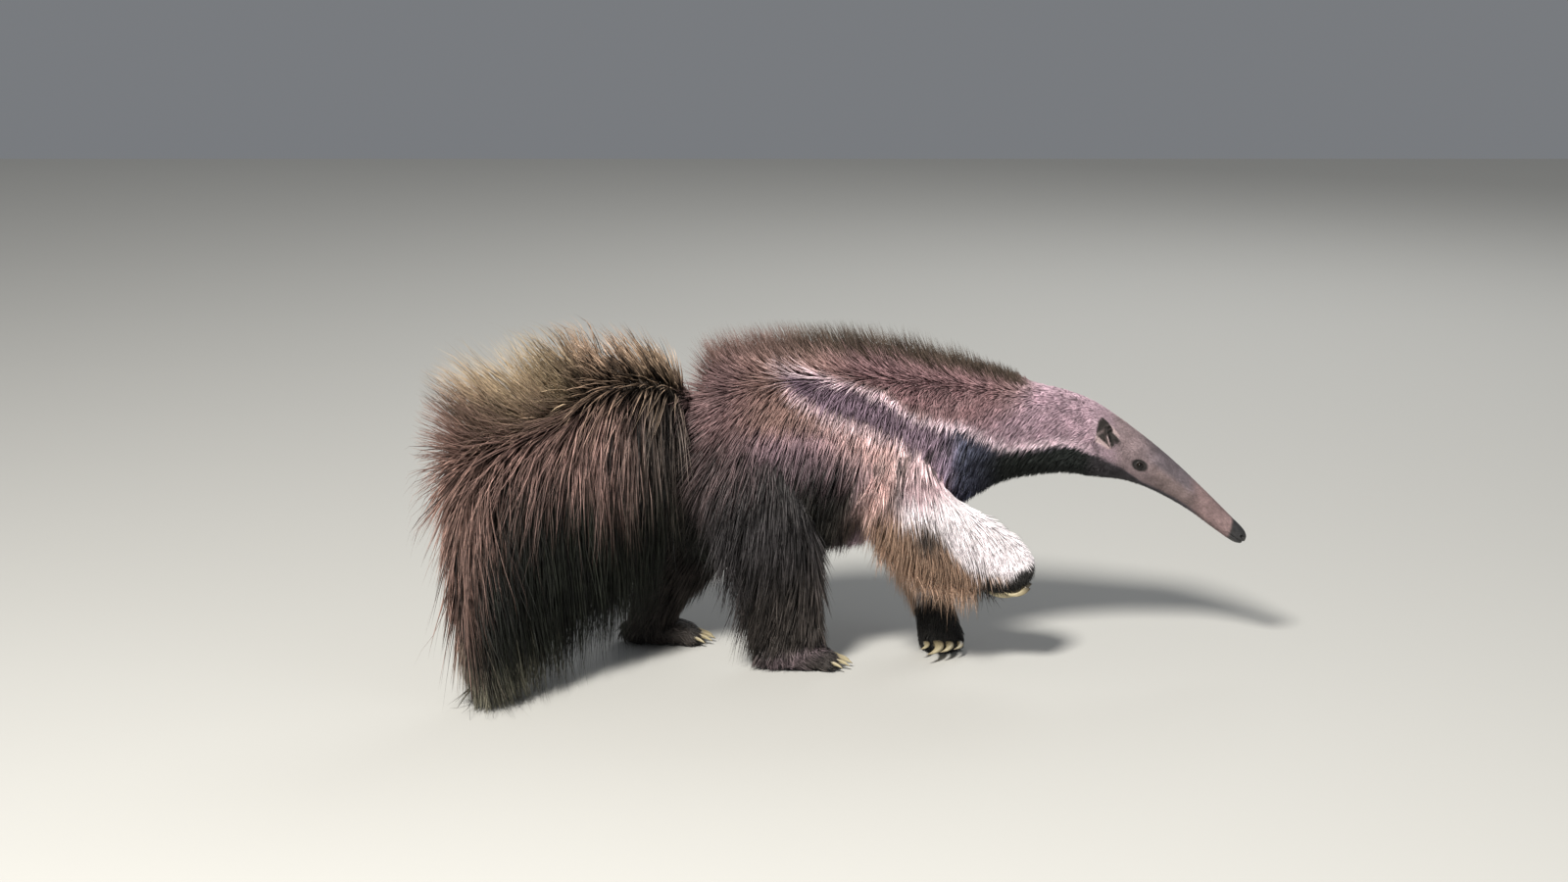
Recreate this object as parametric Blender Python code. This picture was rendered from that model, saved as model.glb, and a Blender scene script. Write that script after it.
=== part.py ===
# Giant anteater, life size, walking with its right forefoot lifted. Metres, +X towards the snout,
# +Y to the animal's left, +Z up, floor at Z = 0. Every solid reaches out to the tips of the coat.
# The animal is laid out with X = 0 above the right hind foot and Y = 0 in the plane of its spine,
# and at the end it moves so that the origin is on the floor under the middle of its bounding box.
import math

import bmesh
import bpy
from mathutils import Vector

MIDDLE = Vector((0.1065, -0.1195, 0.0))  # the middle of the bounding box, as laid out
GAP = 0.0004  # between solids that meet

# Spine of the body from rump to snout: x, z, half height, half width of the section across it
SPINE = (
    (-0.200, 0.440, 0.030, 0.028),
    (-0.180, 0.428, 0.092, 0.070),
    (-0.130, 0.408, 0.156, 0.112),
    (-0.030, 0.395, 0.187, 0.134),
    (0.090, 0.402, 0.182, 0.136),
    (0.200, 0.411, 0.166, 0.130),
    (0.300, 0.426, 0.136, 0.112),
    (0.385, 0.438, 0.108, 0.092),
    (0.460, 0.438, 0.091, 0.079),
    (0.530, 0.429, 0.077, 0.069),
    (0.590, 0.407, 0.063, 0.060),
    (0.649, 0.3815, 0.046, 0.047),
    (0.7035, 0.349, 0.0345, 0.035),
    (0.764, 0.304, 0.0250, 0.0255),
    (0.8165, 0.2590, 0.0196, 0.0198),
    (0.8465, 0.2345, 0.0162, 0.0162),
    (0.8600, 0.2230, 0.0080, 0.0085),
)
NECK_FROM, HEAD_FROM, NOSE_FROM = 0.345, 0.572, 0.838
PEAR = 0.10  # how much wider the trunk is low down than high up

# Crest of long hair on the back: x, height over the back
CREST = ((-0.160, 0.036), (-0.090, 0.045), (0.000, 0.044), (0.090, 0.043), (0.180, 0.040),
         (0.270, 0.036), (0.360, 0.024), (0.450, 0.009))
CREST_ROOT, CREST_TIP = 0.034, 0.013  # half widths

# Curtain of tail hair in level slices: z, front x, rear x, half width
TAIL = (
    (0.000, -0.488, -0.548, 0.034),
    (0.030, -0.478, -0.566, 0.044),
    (0.060, -0.455, -0.584, 0.056),
    (0.090, -0.400, -0.598, 0.064),
    (0.120, -0.270, -0.610, 0.070),
    (0.200, -0.165, -0.628, 0.080),
    (0.300, -0.120, -0.640, 0.088),
    (0.400, -0.120, -0.652, 0.090),
    (0.480, -0.138, -0.630, 0.086),
    (0.540, -0.195, -0.560, 0.074),
    (0.590, -0.250, -0.505, 0.056),
    (0.622, -0.292, -0.460, 0.036),
    (0.637, -0.325, -0.415, 0.016),
)
TAIL_ROOT_X, TAIL_SWING_LENGTH = -0.17, 0.37
SWING_LOW, SWING_HIGH = 0.340, 0.130  # how far the tail swings to the animal's right, on the floor and at its top
TAIL_CUTS = (-0.320, -0.470)

# Legs down their middle line: x, y, z, half length fore and aft, half width. On a foreleg the
# elbow and the wrist are rows 3 and 6, and on a hind leg the knee is row 3.
FORELEG_R = ((0.215, -0.060, 0.450, 0.050, 0.030), (0.213, -0.090, 0.385, 0.076, 0.050),
             (0.222, -0.108, 0.338, 0.084, 0.054), (0.250, -0.114, 0.291, 0.086, 0.054),
             (0.296, -0.112, 0.257, 0.085, 0.054), (0.346, -0.106, 0.234, 0.079, 0.050),
             (0.391, -0.101, 0.212, 0.066, 0.046), (0.421, -0.098, 0.194, 0.052, 0.044),
             (0.439, -0.097, 0.182, 0.036, 0.039), (0.448, -0.097, 0.175, 0.016, 0.028))
FORELEG_L = ((0.215, 0.060, 0.450, 0.050, 0.030), (0.215, 0.088, 0.390, 0.074, 0.048),
             (0.216, 0.105, 0.330, 0.078, 0.050), (0.224, 0.102, 0.270, 0.072, 0.048),
             (0.246, 0.086, 0.205, 0.062, 0.045), (0.271, 0.060, 0.135, 0.046, 0.040),
             (0.285, 0.044, 0.078, 0.039, 0.038), (0.292, 0.038, 0.045, 0.042, 0.040),
             (0.298, 0.034, 0.015, 0.045, 0.040), (0.300, 0.033, -0.010, 0.036, 0.032))
HINDLEG_R = ((-0.085, -0.055, 0.455, 0.060, 0.030), (-0.075, -0.085, 0.390, 0.096, 0.052),
             (-0.045, -0.104, 0.320, 0.104, 0.060), (-0.015, -0.108, 0.245, 0.094, 0.056),
             (-0.002, -0.100, 0.180, 0.090, 0.050), (0.003, -0.090, 0.120, 0.082, 0.046),
             (0.006, -0.082, 0.052, 0.074, 0.041), (0.006, -0.082, 0.030, 0.060, 0.036))
HINDLEG_L = ((-0.085, 0.055, 0.455, 0.060, 0.030), (-0.090, 0.085, 0.390, 0.096, 0.050),
             (-0.105, 0.100, 0.320, 0.098, 0.056), (-0.130, 0.102, 0.245, 0.084, 0.052),
             (-0.175, 0.094, 0.180, 0.070, 0.046), (-0.220, 0.086, 0.120, 0.056, 0.042),
             (-0.252, 0.079, 0.052, 0.046, 0.038), (-0.252, 0.079, 0.030, 0.040, 0.032))
# Hind foot, heel to toes: distance ahead of the ankle, half width, height of the instep
HIND_FOOT = ((-0.052, 0.020, 0.022), (-0.038, 0.031, 0.046), (0.000, 0.036, 0.051),
             (0.045, 0.038, 0.047), (0.082, 0.039, 0.032), (0.098, 0.030, 0.018))
ANKLES = {"R": Vector((0.006, -0.082, 0.0)), "L": Vector((-0.252, 0.079, 0.0))}

EYE_AT, EYE_RADIUS = Vector((0.655, 0.0395, 0.3765)), 0.0078
EAR_AT, EAR_HEIGHT, EAR_WIDTH, EAR_WALL = Vector((0.603, 0.0515, 0.4220)), 0.048, 0.031, 0.0045

# Claws: length and base radius, from the innermost toe outwards
FORE_CLAWS = ((0.050, 0.0065), (0.072, 0.0090), (0.090, 0.0112), (0.050, 0.0065))
HIND_CLAWS = ((0.026, 0.0045), (0.030, 0.0052), (0.032, 0.0055), (0.030, 0.0052), (0.026, 0.0045))

COLOURS = {  # base colour, roughness
    "grizzled": ((0.30, 0.21, 0.20), 0.8),
    "head": ((0.34, 0.26, 0.27), 0.8),
    "crest": ((0.10, 0.08, 0.06), 0.85),
    "tail": ((0.10, 0.06, 0.05), 0.85),
    "dark": ((0.05, 0.04, 0.04), 0.85),
    "pale": ((0.75, 0.68, 0.66), 0.8),
    "nose": ((0.03, 0.03, 0.03), 0.4),
    "eye": ((0.01, 0.008, 0.006), 0.1),
    "claw": ((0.22, 0.19, 0.11), 0.45),
}


def clear_scene():
    for obj in list(bpy.data.objects):
        bpy.data.objects.remove(obj)


def material(kind):
    """One material for each coat colour, made when it is first asked for."""
    found = bpy.data.materials.get(kind)
    if found:
        return found
    made = bpy.data.materials.new(kind)
    made.use_nodes = True
    colour, roughness = COLOURS[kind]
    shader = made.node_tree.nodes["Principled BSDF"]
    shader.inputs["Base Color"].default_value = (*colour, 1.0)
    shader.inputs["Roughness"].default_value = roughness
    shader.inputs["Metallic"].default_value = 0.0
    return made


def between(rows, t):
    """A smooth (Catmull-Rom) reading of rows of numbers, where t counts rows."""
    i = min(max(int(t), 0), len(rows) - 2)
    f = t - i
    a, b, c, d = (rows[min(max(k, 0), len(rows) - 1)] for k in (i - 1, i, i + 1, i + 2))
    return [
        q + 0.5 * f * (r - p + f * (2 * p - 5 * q + 4 * r - s + f * (3 * (q - r) + s - p)))
        for p, q, r, s in zip(a, b, c, d)
    ]


def row_at(rows, value, column=0):
    """Where along rows a rising column has the value."""
    low, high = 0.0, len(rows) - 1.0
    for _ in range(40):
        middle = (low + high) / 2
        if between(rows, middle)[column] < value:
            low = middle
        else:
            high = middle
    return low


def oval(half_width, half_height, sides, power=2.2, pear=0.0):
    """Points (across, up) round a squared oval that is wider low down by the share pear."""
    points = []
    for i in range(sides):
        angle = 2 * math.pi * i / sides
        c, s = math.cos(angle), math.sin(angle)
        across = math.copysign(abs(c) ** (2 / power), c)
        up = math.copysign(abs(s) ** (2 / power), s)
        points.append((half_width * across * (1 - pear * s), half_height * up))
    return points


def ring(centre, along, points, up=Vector((0, 0, 1))):
    """Section points set across the direction along, with their second number towards up."""
    side = up.cross(along).normalized()
    lift = along.cross(side).normalized()
    return [centre + side * a + lift * b for a, b in points]


def add_object(name, bm, kind):
    bmesh.ops.triangulate(bm, faces=bm.faces, quad_method="SHORT_EDGE")
    bmesh.ops.recalc_face_normals(bm, faces=bm.faces)
    mesh = bpy.data.meshes.new(name)
    bm.to_mesh(mesh)
    bm.free()
    mesh.materials.append(material(kind))
    mesh.shade_smooth()
    mesh.set_sharp_from_angle(angle=math.radians(50))
    obj = bpy.data.objects.new(name, mesh)
    bpy.context.scene.collection.objects.link(obj)
    return obj


def loft(name, rings, kind):
    """A closed solid through rings of points, with a flat cap at each end."""
    bm = bmesh.new()
    rows = [[bm.verts.new(p) for p in points] for points in rings]
    sides = len(rows[0])
    for a, b in zip(rows, rows[1:]):
        for i in range(sides):
            j = (i + 1) % sides
            bm.faces.new((a[i], a[j], b[j], b[i]))
    bm.faces.new(rows[0])
    bm.faces.new(rows[-1])
    return add_object(name, bm, kind)


def spine_ring(t, sides):
    """Section of the body across its spine."""
    x, z, half_height, half_width = between(SPINE, t)
    ahead, behind = between(SPINE, t + 0.01), between(SPINE, t - 0.01)
    along = Vector((ahead[0] - behind[0], 0, ahead[1] - behind[1])).normalized()
    pear = PEAR if x < NECK_FROM else 0.0
    return ring(Vector((x, 0, z)), along, oval(half_width, half_height, sides, pear=pear))


def leg_ring(rows, t, sides):
    """Section of a leg across its middle line."""
    x, y, z, half_length, half_width = between(rows, t)
    low, high = max(t - 0.01, 0), min(t + 0.01, len(rows) - 1)
    along = (Vector(between(rows, high)[:3]) - Vector(between(rows, low)[:3])).normalized()
    return ring(Vector((x, y, z)), along, oval(half_width, half_length, sides), Vector((1, 0, 0.25)))


def length_of(name, ring_at, start, end, count, kind):
    """One length of a body or a leg between two stations, short of each by half the gap."""
    rings = [ring_at(start + (end - start) * i / (count - 1)) for i in range(count)]
    for points, inner in ((rings[0], rings[1]), (rings[-1], rings[-2])):
        inwards = (sum(inner, Vector()) - sum(points, Vector())).normalized()
        for p in points:
            p += inwards * GAP / 2
    return loft(name, rings, kind)


def grown(obj, by=GAP):
    """A cutter: the object as built so far, swollen a little and left out of the model."""
    bpy.context.view_layer.update()
    graph = bpy.context.evaluated_depsgraph_get()
    bm = bmesh.new()
    bm.from_mesh(obj.evaluated_get(graph).to_mesh())
    bm.normal_update()
    for v, n in [(v, v.normal.copy()) for v in bm.verts]:
        v.co += n * by
    mesh = bpy.data.meshes.new("around_" + obj.name)
    bm.to_mesh(mesh)
    bm.free()
    cutter = bpy.data.objects.new("around_" + obj.name, mesh)
    bpy.context.scene.collection.objects.link(cutter)
    cutter.hide_render = True
    cutter.display_type = "WIRE"
    return cutter


def cut(obj, *others):
    """Takes what the others fill, and a thin gap round them, out of the object."""
    for other in others:
        modifier = obj.modifiers.new("clear_of_" + other.name, "BOOLEAN")
        modifier.object = other
        modifier.operation = "DIFFERENCE"
        modifier.solver = "EXACT"


def slice_mesh(obj, point, normal):
    """Keeps what lies behind a plane and closes it with a flat face."""
    bm = bmesh.new()
    bm.from_mesh(obj.data)
    geometry = bm.verts[:] + bm.edges[:] + bm.faces[:]
    found = bmesh.ops.bisect_plane(bm, geom=geometry, plane_co=point, plane_no=normal, clear_outer=True)
    edges = [e for e in found["geom_cut"] if isinstance(e, bmesh.types.BMEdge)]
    bmesh.ops.edgenet_fill(bm, edges=edges)
    bmesh.ops.recalc_face_normals(bm, faces=bm.faces)
    bm.to_mesh(obj.data)
    bm.free()


def make_body():
    last = len(SPINE) - 1
    neck, head, nose = (row_at(SPINE, x) for x in (NECK_FROM, HEAD_FROM, NOSE_FROM))
    return {
        "trunk": length_of("trunk", lambda t: spine_ring(t, 24), 0, neck, 15, "grizzled"),
        "neck": length_of("neck", lambda t: spine_ring(t, 20), neck, head, 8, "grizzled"),
        "head": length_of("head", lambda t: spine_ring(t, 20), head, nose, 14, "head"),
        "nose": length_of("nose", lambda t: spine_ring(t, 20), nose, last, 4, "nose"),
    }


def make_crest():
    rings = []
    count = 14
    for i in range(count):
        x, height = between(CREST, (len(CREST) - 1) * i / (count - 1))
        _, z, half_height, _ = between(SPINE, row_at(SPINE, x))
        root, top = z + half_height * 0.55, z + half_height + height
        outline = [(-CREST_ROOT, root), (-CREST_ROOT * 0.8, (root + top) / 2), (-CREST_TIP, top - 0.006),
                   (0.0, top), (CREST_TIP, top - 0.006), (CREST_ROOT * 0.8, (root + top) / 2),
                   (CREST_ROOT, root)]
        rings.append([Vector((x, y, z)) for y, z in outline])
    return loft("crest", rings, "crest")


def tail_middle_y(x, z):
    """The tail swings to the right as it goes back, and most where it comes down to the floor."""
    back = max((TAIL_ROOT_X - x) / TAIL_SWING_LENGTH, 0.0)
    low = 1 - z / TAIL[-1][0]
    return -(SWING_HIGH + (SWING_LOW - SWING_HIGH) * low) * back**1.25


def make_tail():
    """The whole curtain of hair as level slices, then parted into three lengths."""
    count, sides = 17, 26
    rings = []
    for i in range(count):
        z, front, rear, half_width = between(TAIL, (len(TAIL) - 1) * i / (count - 1))
        outline = oval((front - rear) / 2, half_width, sides, power=2.4)
        middle = (front + rear) / 2
        rings.append([Vector((middle + a, tail_middle_y(middle + a, z) + b, z)) for a, b in outline])
    lengths = []
    for name in ("tail_base", "tail_middle", "tail_end"):
        lengths.append(loft(name, rings, "tail"))
    for i, x in enumerate(TAIL_CUTS):
        slice_mesh(lengths[i], Vector((x + GAP / 2, 0, 0)), Vector((-1, 0, 0)))
        slice_mesh(lengths[i + 1], Vector((x - GAP / 2, 0, 0)), Vector((1, 0, 0)))
    return lengths


def make_hind_paw(side):
    ankle = ANKLES[side]
    rings = []
    count = 9
    for i in range(count):
        ahead, half_width, height = between(HIND_FOOT, (len(HIND_FOOT) - 1) * i / (count - 1))
        outline = oval(half_width, height / 2 + 0.006, 16, power=2.6)
        centre = ankle + Vector((ahead, 0, height / 2 - 0.006))
        rings.append([centre + Vector((0, a, b)) for a, b in outline])
    paw = loft("hind_paw_" + side, rings, "dark")
    slice_mesh(paw, Vector(), Vector((0, 0, -1)))
    return paw


def claw(name, base, forward, bend, length, radius, turn):
    """A claw that leaves base along forward and curls towards bend through the angle turn."""
    forward, bend = forward.normalized(), bend.normalized()
    across = forward.cross(bend).normalized()
    arc = length / turn
    rings = []
    count = 6
    for i in range(count):
        share = i / (count - 1)
        angle = turn * share
        centre = base + forward * arc * math.sin(angle) + bend * arc * (1 - math.cos(angle))
        out = forward * math.sin(angle) - bend * math.cos(angle)
        size = radius * (1 - share) ** 0.75 + 0.0009
        rings.append([centre + across * a * 0.62 + out * b for a, b in oval(size, size, 6, power=2.0)])
    return loft(name, rings, "claw")


def make_hind_claws(side, paw):
    outward = -1 if side == "R" else 1
    for i, (length, radius) in enumerate(HIND_CLAWS):
        place = (i - 2) / 2
        base = ANKLES[side] + Vector((0.092 - 0.012 * place**2, outward * 0.029 * place, 0.017))
        forward = Vector((1.0, outward * 0.40 * place, 0.05))
        made = claw(f"hind_claw_{side}_{i + 1}", base, forward, Vector((0, 0, -1)), length, radius, 0.7)
        cut(made, paw)


def make_fore_claws(side, paw):
    """Fore claws curl back under the palm. On the planted foot they turn in towards the midline."""
    for i, (length, radius) in enumerate(FORE_CLAWS):
        place = (i - 1.5) / 1.5
        if side == "R":
            base = Vector((0.446, -0.097 - 0.027 * place, 0.177 - 0.010 * abs(place)))
            forward, bend = Vector((-0.50, -0.05 * place, -0.86)), Vector((-0.86, 0.0, 0.50))
            turn = 1.7
        else:
            base = Vector((0.330 - 0.021 * i, 0.004, 0.022))
            forward, bend = Vector((0.25, -1.0, 0.0)), Vector((-1, -0.1, 0.0))
            turn = 1.0
        made = claw(f"fore_claw_{side}_{i + 1}", base, forward, bend, length, radius, turn)
        cut(made, paw)


def make_legs(body):
    """Forelegs in three lengths and hind legs in two, each clear of the trunk."""
    around = [grown(body["trunk"]), grown(body["neck"])]
    legs = {}
    for side, rows in (("R", FORELEG_R), ("L", FORELEG_L)):
        for name, start, end in (("upper_arm_", 0, 3), ("forearm_", 3, 6), ("fore_paw_", 6, 9)):
            legs[name + side] = length_of(name + side, lambda t: leg_ring(rows, t, 16), start, end, 8, "pale")
    for side, rows in (("R", HINDLEG_R), ("L", HINDLEG_L)):
        for name, start, end in (("thigh_", 0, 3), ("shank_", 3, 7)):
            legs[name + side] = length_of(name + side, lambda t: leg_ring(rows, t, 16), start, end, 8, "dark")
        legs["hind_paw_" + side] = make_hind_paw(side)
    slice_mesh(legs["fore_paw_L"], Vector(), Vector((0, 0, -1)))
    for name, leg in legs.items():
        if "paw" not in name:
            cut(leg, *around)
    return legs


def make_eye(side):
    outward = -1 if side == "R" else 1
    bm = bmesh.new()
    bmesh.ops.create_uvsphere(bm, u_segments=12, v_segments=6, radius=EYE_RADIUS)
    bmesh.ops.translate(bm, verts=bm.verts, vec=Vector((EYE_AT.x, EYE_AT.y * outward, EYE_AT.z)))
    return add_object("eye_" + side, bm, "eye")


def make_ear(side):
    """A small rounded ear, cupped forwards and outwards."""
    outward = -1 if side == "R" else 1
    base = Vector((EAR_AT.x, EAR_AT.y * outward, EAR_AT.z))
    up = Vector((-0.30, outward * 0.42, 1.0)).normalized()
    back = Vector((-1.0, -outward * 0.55, 0.0))
    back = (back - up * back.dot(up)).normalized()
    across = up.cross(back)
    bm = bmesh.new()
    rows, columns = 6, 7
    grid = []
    for i in range(rows):
        v = i / (rows - 1)
        width = EAR_WIDTH / 2 * (0.55 + 0.9 * v - 0.2 * v * v) * math.sqrt(max(1 - v**4 * 0.93, 0))
        line = []
        for j in range(columns):
            u = 2 * j / (columns - 1) - 1
            depth = 0.012 * (1 - u * u) * (1 - 0.5 * v)
            line.append(bm.verts.new(base + up * (EAR_HEIGHT * v - 0.012) + across * width * u + back * depth))
        grid.append(line)
    for a, b in zip(grid, grid[1:]):
        for j in range(columns - 1):
            bm.faces.new((a[j], a[j + 1], b[j + 1], b[j]))
    ear = add_object("ear_" + side, bm, "head")
    wall = ear.modifiers.new("wall", "SOLIDIFY")
    wall.thickness = EAR_WALL
    wall.offset = 0.0
    return ear


def assemble():
    clear_scene()
    body = make_body()
    legs = make_legs(body)
    around_body = {name: grown(obj) for name, obj in body.items()}
    crest = make_crest()
    cut(crest, around_body["trunk"], around_body["neck"])
    around_limbs = [grown(legs[name]) for name in ("thigh_R", "thigh_L", "shank_R", "shank_L")]
    for length in make_tail():
        cut(length, around_body["trunk"], *around_limbs, grown(crest))
    for side in ("R", "L"):
        eye, ear = make_eye(side), make_ear(side)
        cut(body["head"], grown(eye))
        cut(ear, around_body["head"], around_body["neck"])
        cut(legs["shank_" + side], grown(legs["hind_paw_" + side]))
        make_hind_claws(side, grown(legs["hind_paw_" + side]))
        make_fore_claws(side, grown(legs["fore_paw_" + side]))
    for obj in bpy.data.objects:
        obj.location = -MIDDLE


assemble()
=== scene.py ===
import math

import bmesh
import bpy
import numpy as np
from mathutils import Matrix, Vector
from mathutils.bvhtree import BVHTree


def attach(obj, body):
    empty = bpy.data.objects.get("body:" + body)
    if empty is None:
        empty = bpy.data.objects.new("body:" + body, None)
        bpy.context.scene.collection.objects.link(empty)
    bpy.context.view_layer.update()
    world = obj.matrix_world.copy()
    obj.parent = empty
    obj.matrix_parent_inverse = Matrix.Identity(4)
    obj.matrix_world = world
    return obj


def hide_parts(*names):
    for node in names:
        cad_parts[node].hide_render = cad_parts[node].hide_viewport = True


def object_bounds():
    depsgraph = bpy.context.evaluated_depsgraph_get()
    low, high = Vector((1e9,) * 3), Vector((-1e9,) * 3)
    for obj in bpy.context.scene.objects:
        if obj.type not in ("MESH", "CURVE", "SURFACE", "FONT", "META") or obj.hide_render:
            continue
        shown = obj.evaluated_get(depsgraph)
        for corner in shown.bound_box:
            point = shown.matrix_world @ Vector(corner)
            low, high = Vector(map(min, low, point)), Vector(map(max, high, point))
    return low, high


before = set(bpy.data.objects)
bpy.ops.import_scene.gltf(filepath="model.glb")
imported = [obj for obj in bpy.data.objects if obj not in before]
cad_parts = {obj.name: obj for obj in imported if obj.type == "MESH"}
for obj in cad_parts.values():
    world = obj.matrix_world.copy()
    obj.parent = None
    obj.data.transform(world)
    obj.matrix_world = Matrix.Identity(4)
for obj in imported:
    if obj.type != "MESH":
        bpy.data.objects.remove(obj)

# Giant anteater, life size, right forefoot lifted. Shapes and markings are laid out with X = 0 above the
# right hind foot and Y = 0 in the plane of the spine, then moved so the origin is under the box's middle.
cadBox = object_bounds()
layoutMiddle = Vector((0.1065, -0.1195, 0.0))


# Camera, as far from the animal and as high as the photographer stood
cameraView = {"place": (0.0, -5.5466, 1.6958), "lookDown": 13.022, "lens": 70.5, "sensor": 36.0}

cameraData = bpy.data.cameras.new("camera")
cameraData.lens = cameraView["lens"]
cameraData.sensor_width = cameraView["sensor"]
camera = bpy.data.objects.new("camera", cameraData)
camera.location = Vector(cameraView["place"]) - layoutMiddle
camera.rotation_euler = (math.radians(90 - cameraView["lookDown"]), 0, 0)
bpy.context.scene.collection.objects.link(camera)
bpy.context.scene.camera = camera
print("camera placed")


# The body under the coat. Each row is a section, and the coat's depth is taken off it.
body = {
    "spine": (  # x, z, half height, half width, depth of the coat
        (-0.200, 0.440, 0.030, 0.028, 0.016), (-0.180, 0.428, 0.092, 0.070, 0.018),
        (-0.130, 0.408, 0.156, 0.112, 0.026), (-0.030, 0.395, 0.187, 0.134, 0.032),
        (0.090, 0.402, 0.182, 0.136, 0.030), (0.200, 0.411, 0.166, 0.130, 0.025),
        (0.300, 0.426, 0.136, 0.112, 0.018), (0.385, 0.438, 0.108, 0.092, 0.013),
        (0.460, 0.438, 0.091, 0.079, 0.0095), (0.530, 0.429, 0.077, 0.069, 0.0060),
        (0.590, 0.407, 0.063, 0.060, 0.0035), (0.649, 0.3815, 0.046, 0.047, 0.0022),
        (0.7035, 0.349, 0.0345, 0.035, 0.0014), (0.764, 0.304, 0.0250, 0.0255, 0.0010),
        (0.8165, 0.2590, 0.0196, 0.0198, 0.0007), (0.8445, 0.2355, 0.0162, 0.0162, 0.0004),
        (0.8550, 0.2267, 0.0112, 0.0116, 0.0003), (0.8590, 0.2230, 0.0048, 0.0050, 0.0002),
    ),
    "pear": 0.10,       # how much wider the trunk is low down than high up
    "neckFrom": 0.345,
    "voxel": 0.0062,    # size of the first net over the joined parts
    "smoothing": 4,
}
tail = {
    "core": (  # z, front x, rear x, half width: the fleshy part that the long hair grows from
        (0.055, -0.505, -0.545, 0.013), (0.120, -0.470, -0.565, 0.022), (0.200, -0.400, -0.578, 0.030),
        (0.260, -0.300, -0.585, 0.036), (0.330, -0.200, -0.590, 0.040), (0.400, -0.150, -0.588, 0.042),
        (0.450, -0.150, -0.560, 0.041), (0.490, -0.170, -0.450, 0.035), (0.525, -0.205, -0.395, 0.026),
        (0.545, -0.240, -0.360, 0.014),
    ),
    "rootX": -0.17, "swingLength": 0.37, "height": 0.637,
    "swingLow": 0.340, "swingHigh": 0.130,    # how far it swings to the right, on the floor and at its top
    "cuts": (-0.320, -0.470),                 # where one length of the coat ends and the next begins
}
legs = {  # x, y, z, half length fore and aft, half width, depth of the coat
    "foreR": ((0.215, -0.060, 0.450, 0.050, 0.030, 0.010), (0.213, -0.090, 0.385, 0.076, 0.050, 0.016),
              (0.222, -0.108, 0.338, 0.084, 0.054, 0.017), (0.250, -0.114, 0.291, 0.086, 0.054, 0.017),
              (0.296, -0.112, 0.257, 0.085, 0.054, 0.016), (0.346, -0.106, 0.234, 0.079, 0.050, 0.015),
              (0.391, -0.101, 0.212, 0.066, 0.046, 0.012), (0.421, -0.098, 0.194, 0.052, 0.044, 0.009),
              (0.439, -0.097, 0.182, 0.036, 0.039, 0.006), (0.448, -0.097, 0.175, 0.016, 0.028, 0.003)),
    "foreL": ((0.215, 0.060, 0.450, 0.050, 0.030, 0.010), (0.215, 0.088, 0.390, 0.074, 0.048, 0.016),
              (0.216, 0.105, 0.330, 0.078, 0.050, 0.016), (0.224, 0.102, 0.270, 0.072, 0.048, 0.014),
              (0.246, 0.086, 0.205, 0.062, 0.045, 0.011), (0.271, 0.060, 0.135, 0.046, 0.040, 0.008),
              (0.285, 0.044, 0.078, 0.039, 0.038, 0.005), (0.292, 0.038, 0.045, 0.042, 0.040, 0.004),
              (0.298, 0.034, 0.018, 0.045, 0.040, 0.003), (0.299, 0.034, 0.002, 0.040, 0.036, 0.003)),
    "hindR": ((-0.085, -0.055, 0.455, 0.060, 0.030, 0.012), (-0.075, -0.085, 0.390, 0.096, 0.052, 0.022),
              (-0.045, -0.104, 0.320, 0.104, 0.060, 0.026), (-0.015, -0.108, 0.245, 0.094, 0.056, 0.024),
              (-0.002, -0.100, 0.180, 0.090, 0.050, 0.024), (0.003, -0.090, 0.120, 0.082, 0.046, 0.022),
              (0.006, -0.082, 0.052, 0.074, 0.041, 0.014), (0.006, -0.082, 0.020, 0.052, 0.034, 0.006)),
    "hindL": ((-0.085, 0.055, 0.455, 0.060, 0.030, 0.012), (-0.090, 0.085, 0.390, 0.096, 0.050, 0.022),
              (-0.105, 0.100, 0.320, 0.098, 0.056, 0.024), (-0.130, 0.102, 0.245, 0.084, 0.052, 0.020),
              (-0.175, 0.094, 0.180, 0.070, 0.046, 0.016), (-0.220, 0.086, 0.120, 0.056, 0.042, 0.012),
              (-0.252, 0.079, 0.052, 0.046, 0.038, 0.008), (-0.252, 0.079, 0.020, 0.036, 0.030, 0.005)),
}
hindFoot = {
    "ankles": {"R": (0.006, -0.082), "L": (-0.252, 0.079)},
    "rows": ((-0.052, 0.020, 0.022), (-0.038, 0.031, 0.046), (0.000, 0.036, 0.051), (0.045, 0.038, 0.047),
             (0.078, 0.037, 0.032), (0.092, 0.030, 0.020)),    # ahead of the ankle, half width, height
    "coat": 0.003,
    "toeRadius": 0.0085, "spread": 0.028,    # of a toe, and from the middle toe to the outer one
}


# A smooth curve read at even steps between rows of numbers
def smoothRows(rows, count):
    rows = np.array(rows, float)
    t = np.linspace(0, len(rows) - 1, count)
    i = np.minimum(t.astype(int), len(rows) - 2)
    f = (t - i)[:, None]
    p, q, r, s = (rows[np.clip(i + k, 0, len(rows) - 1)] for k in (-1, 0, 1, 2))
    return q + 0.5 * f * (r - p + f * (2 * p - 5 * q + 4 * r - s + f * (3 * (q - r) + s - p)))


def unit(vectors):
    return vectors / np.maximum(np.linalg.norm(vectors, axis=-1, keepdims=True), 1e-9)


# Points round a squared oval, as shares of its half sizes
def ovalPoints(sides, power):
    angle = 2 * math.pi * np.arange(sides) / sides
    c, s = np.cos(angle), np.sin(angle)
    return np.sign(c) * abs(c) ** (2 / power), np.sign(s) * abs(s) ** (2 / power), s


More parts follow.
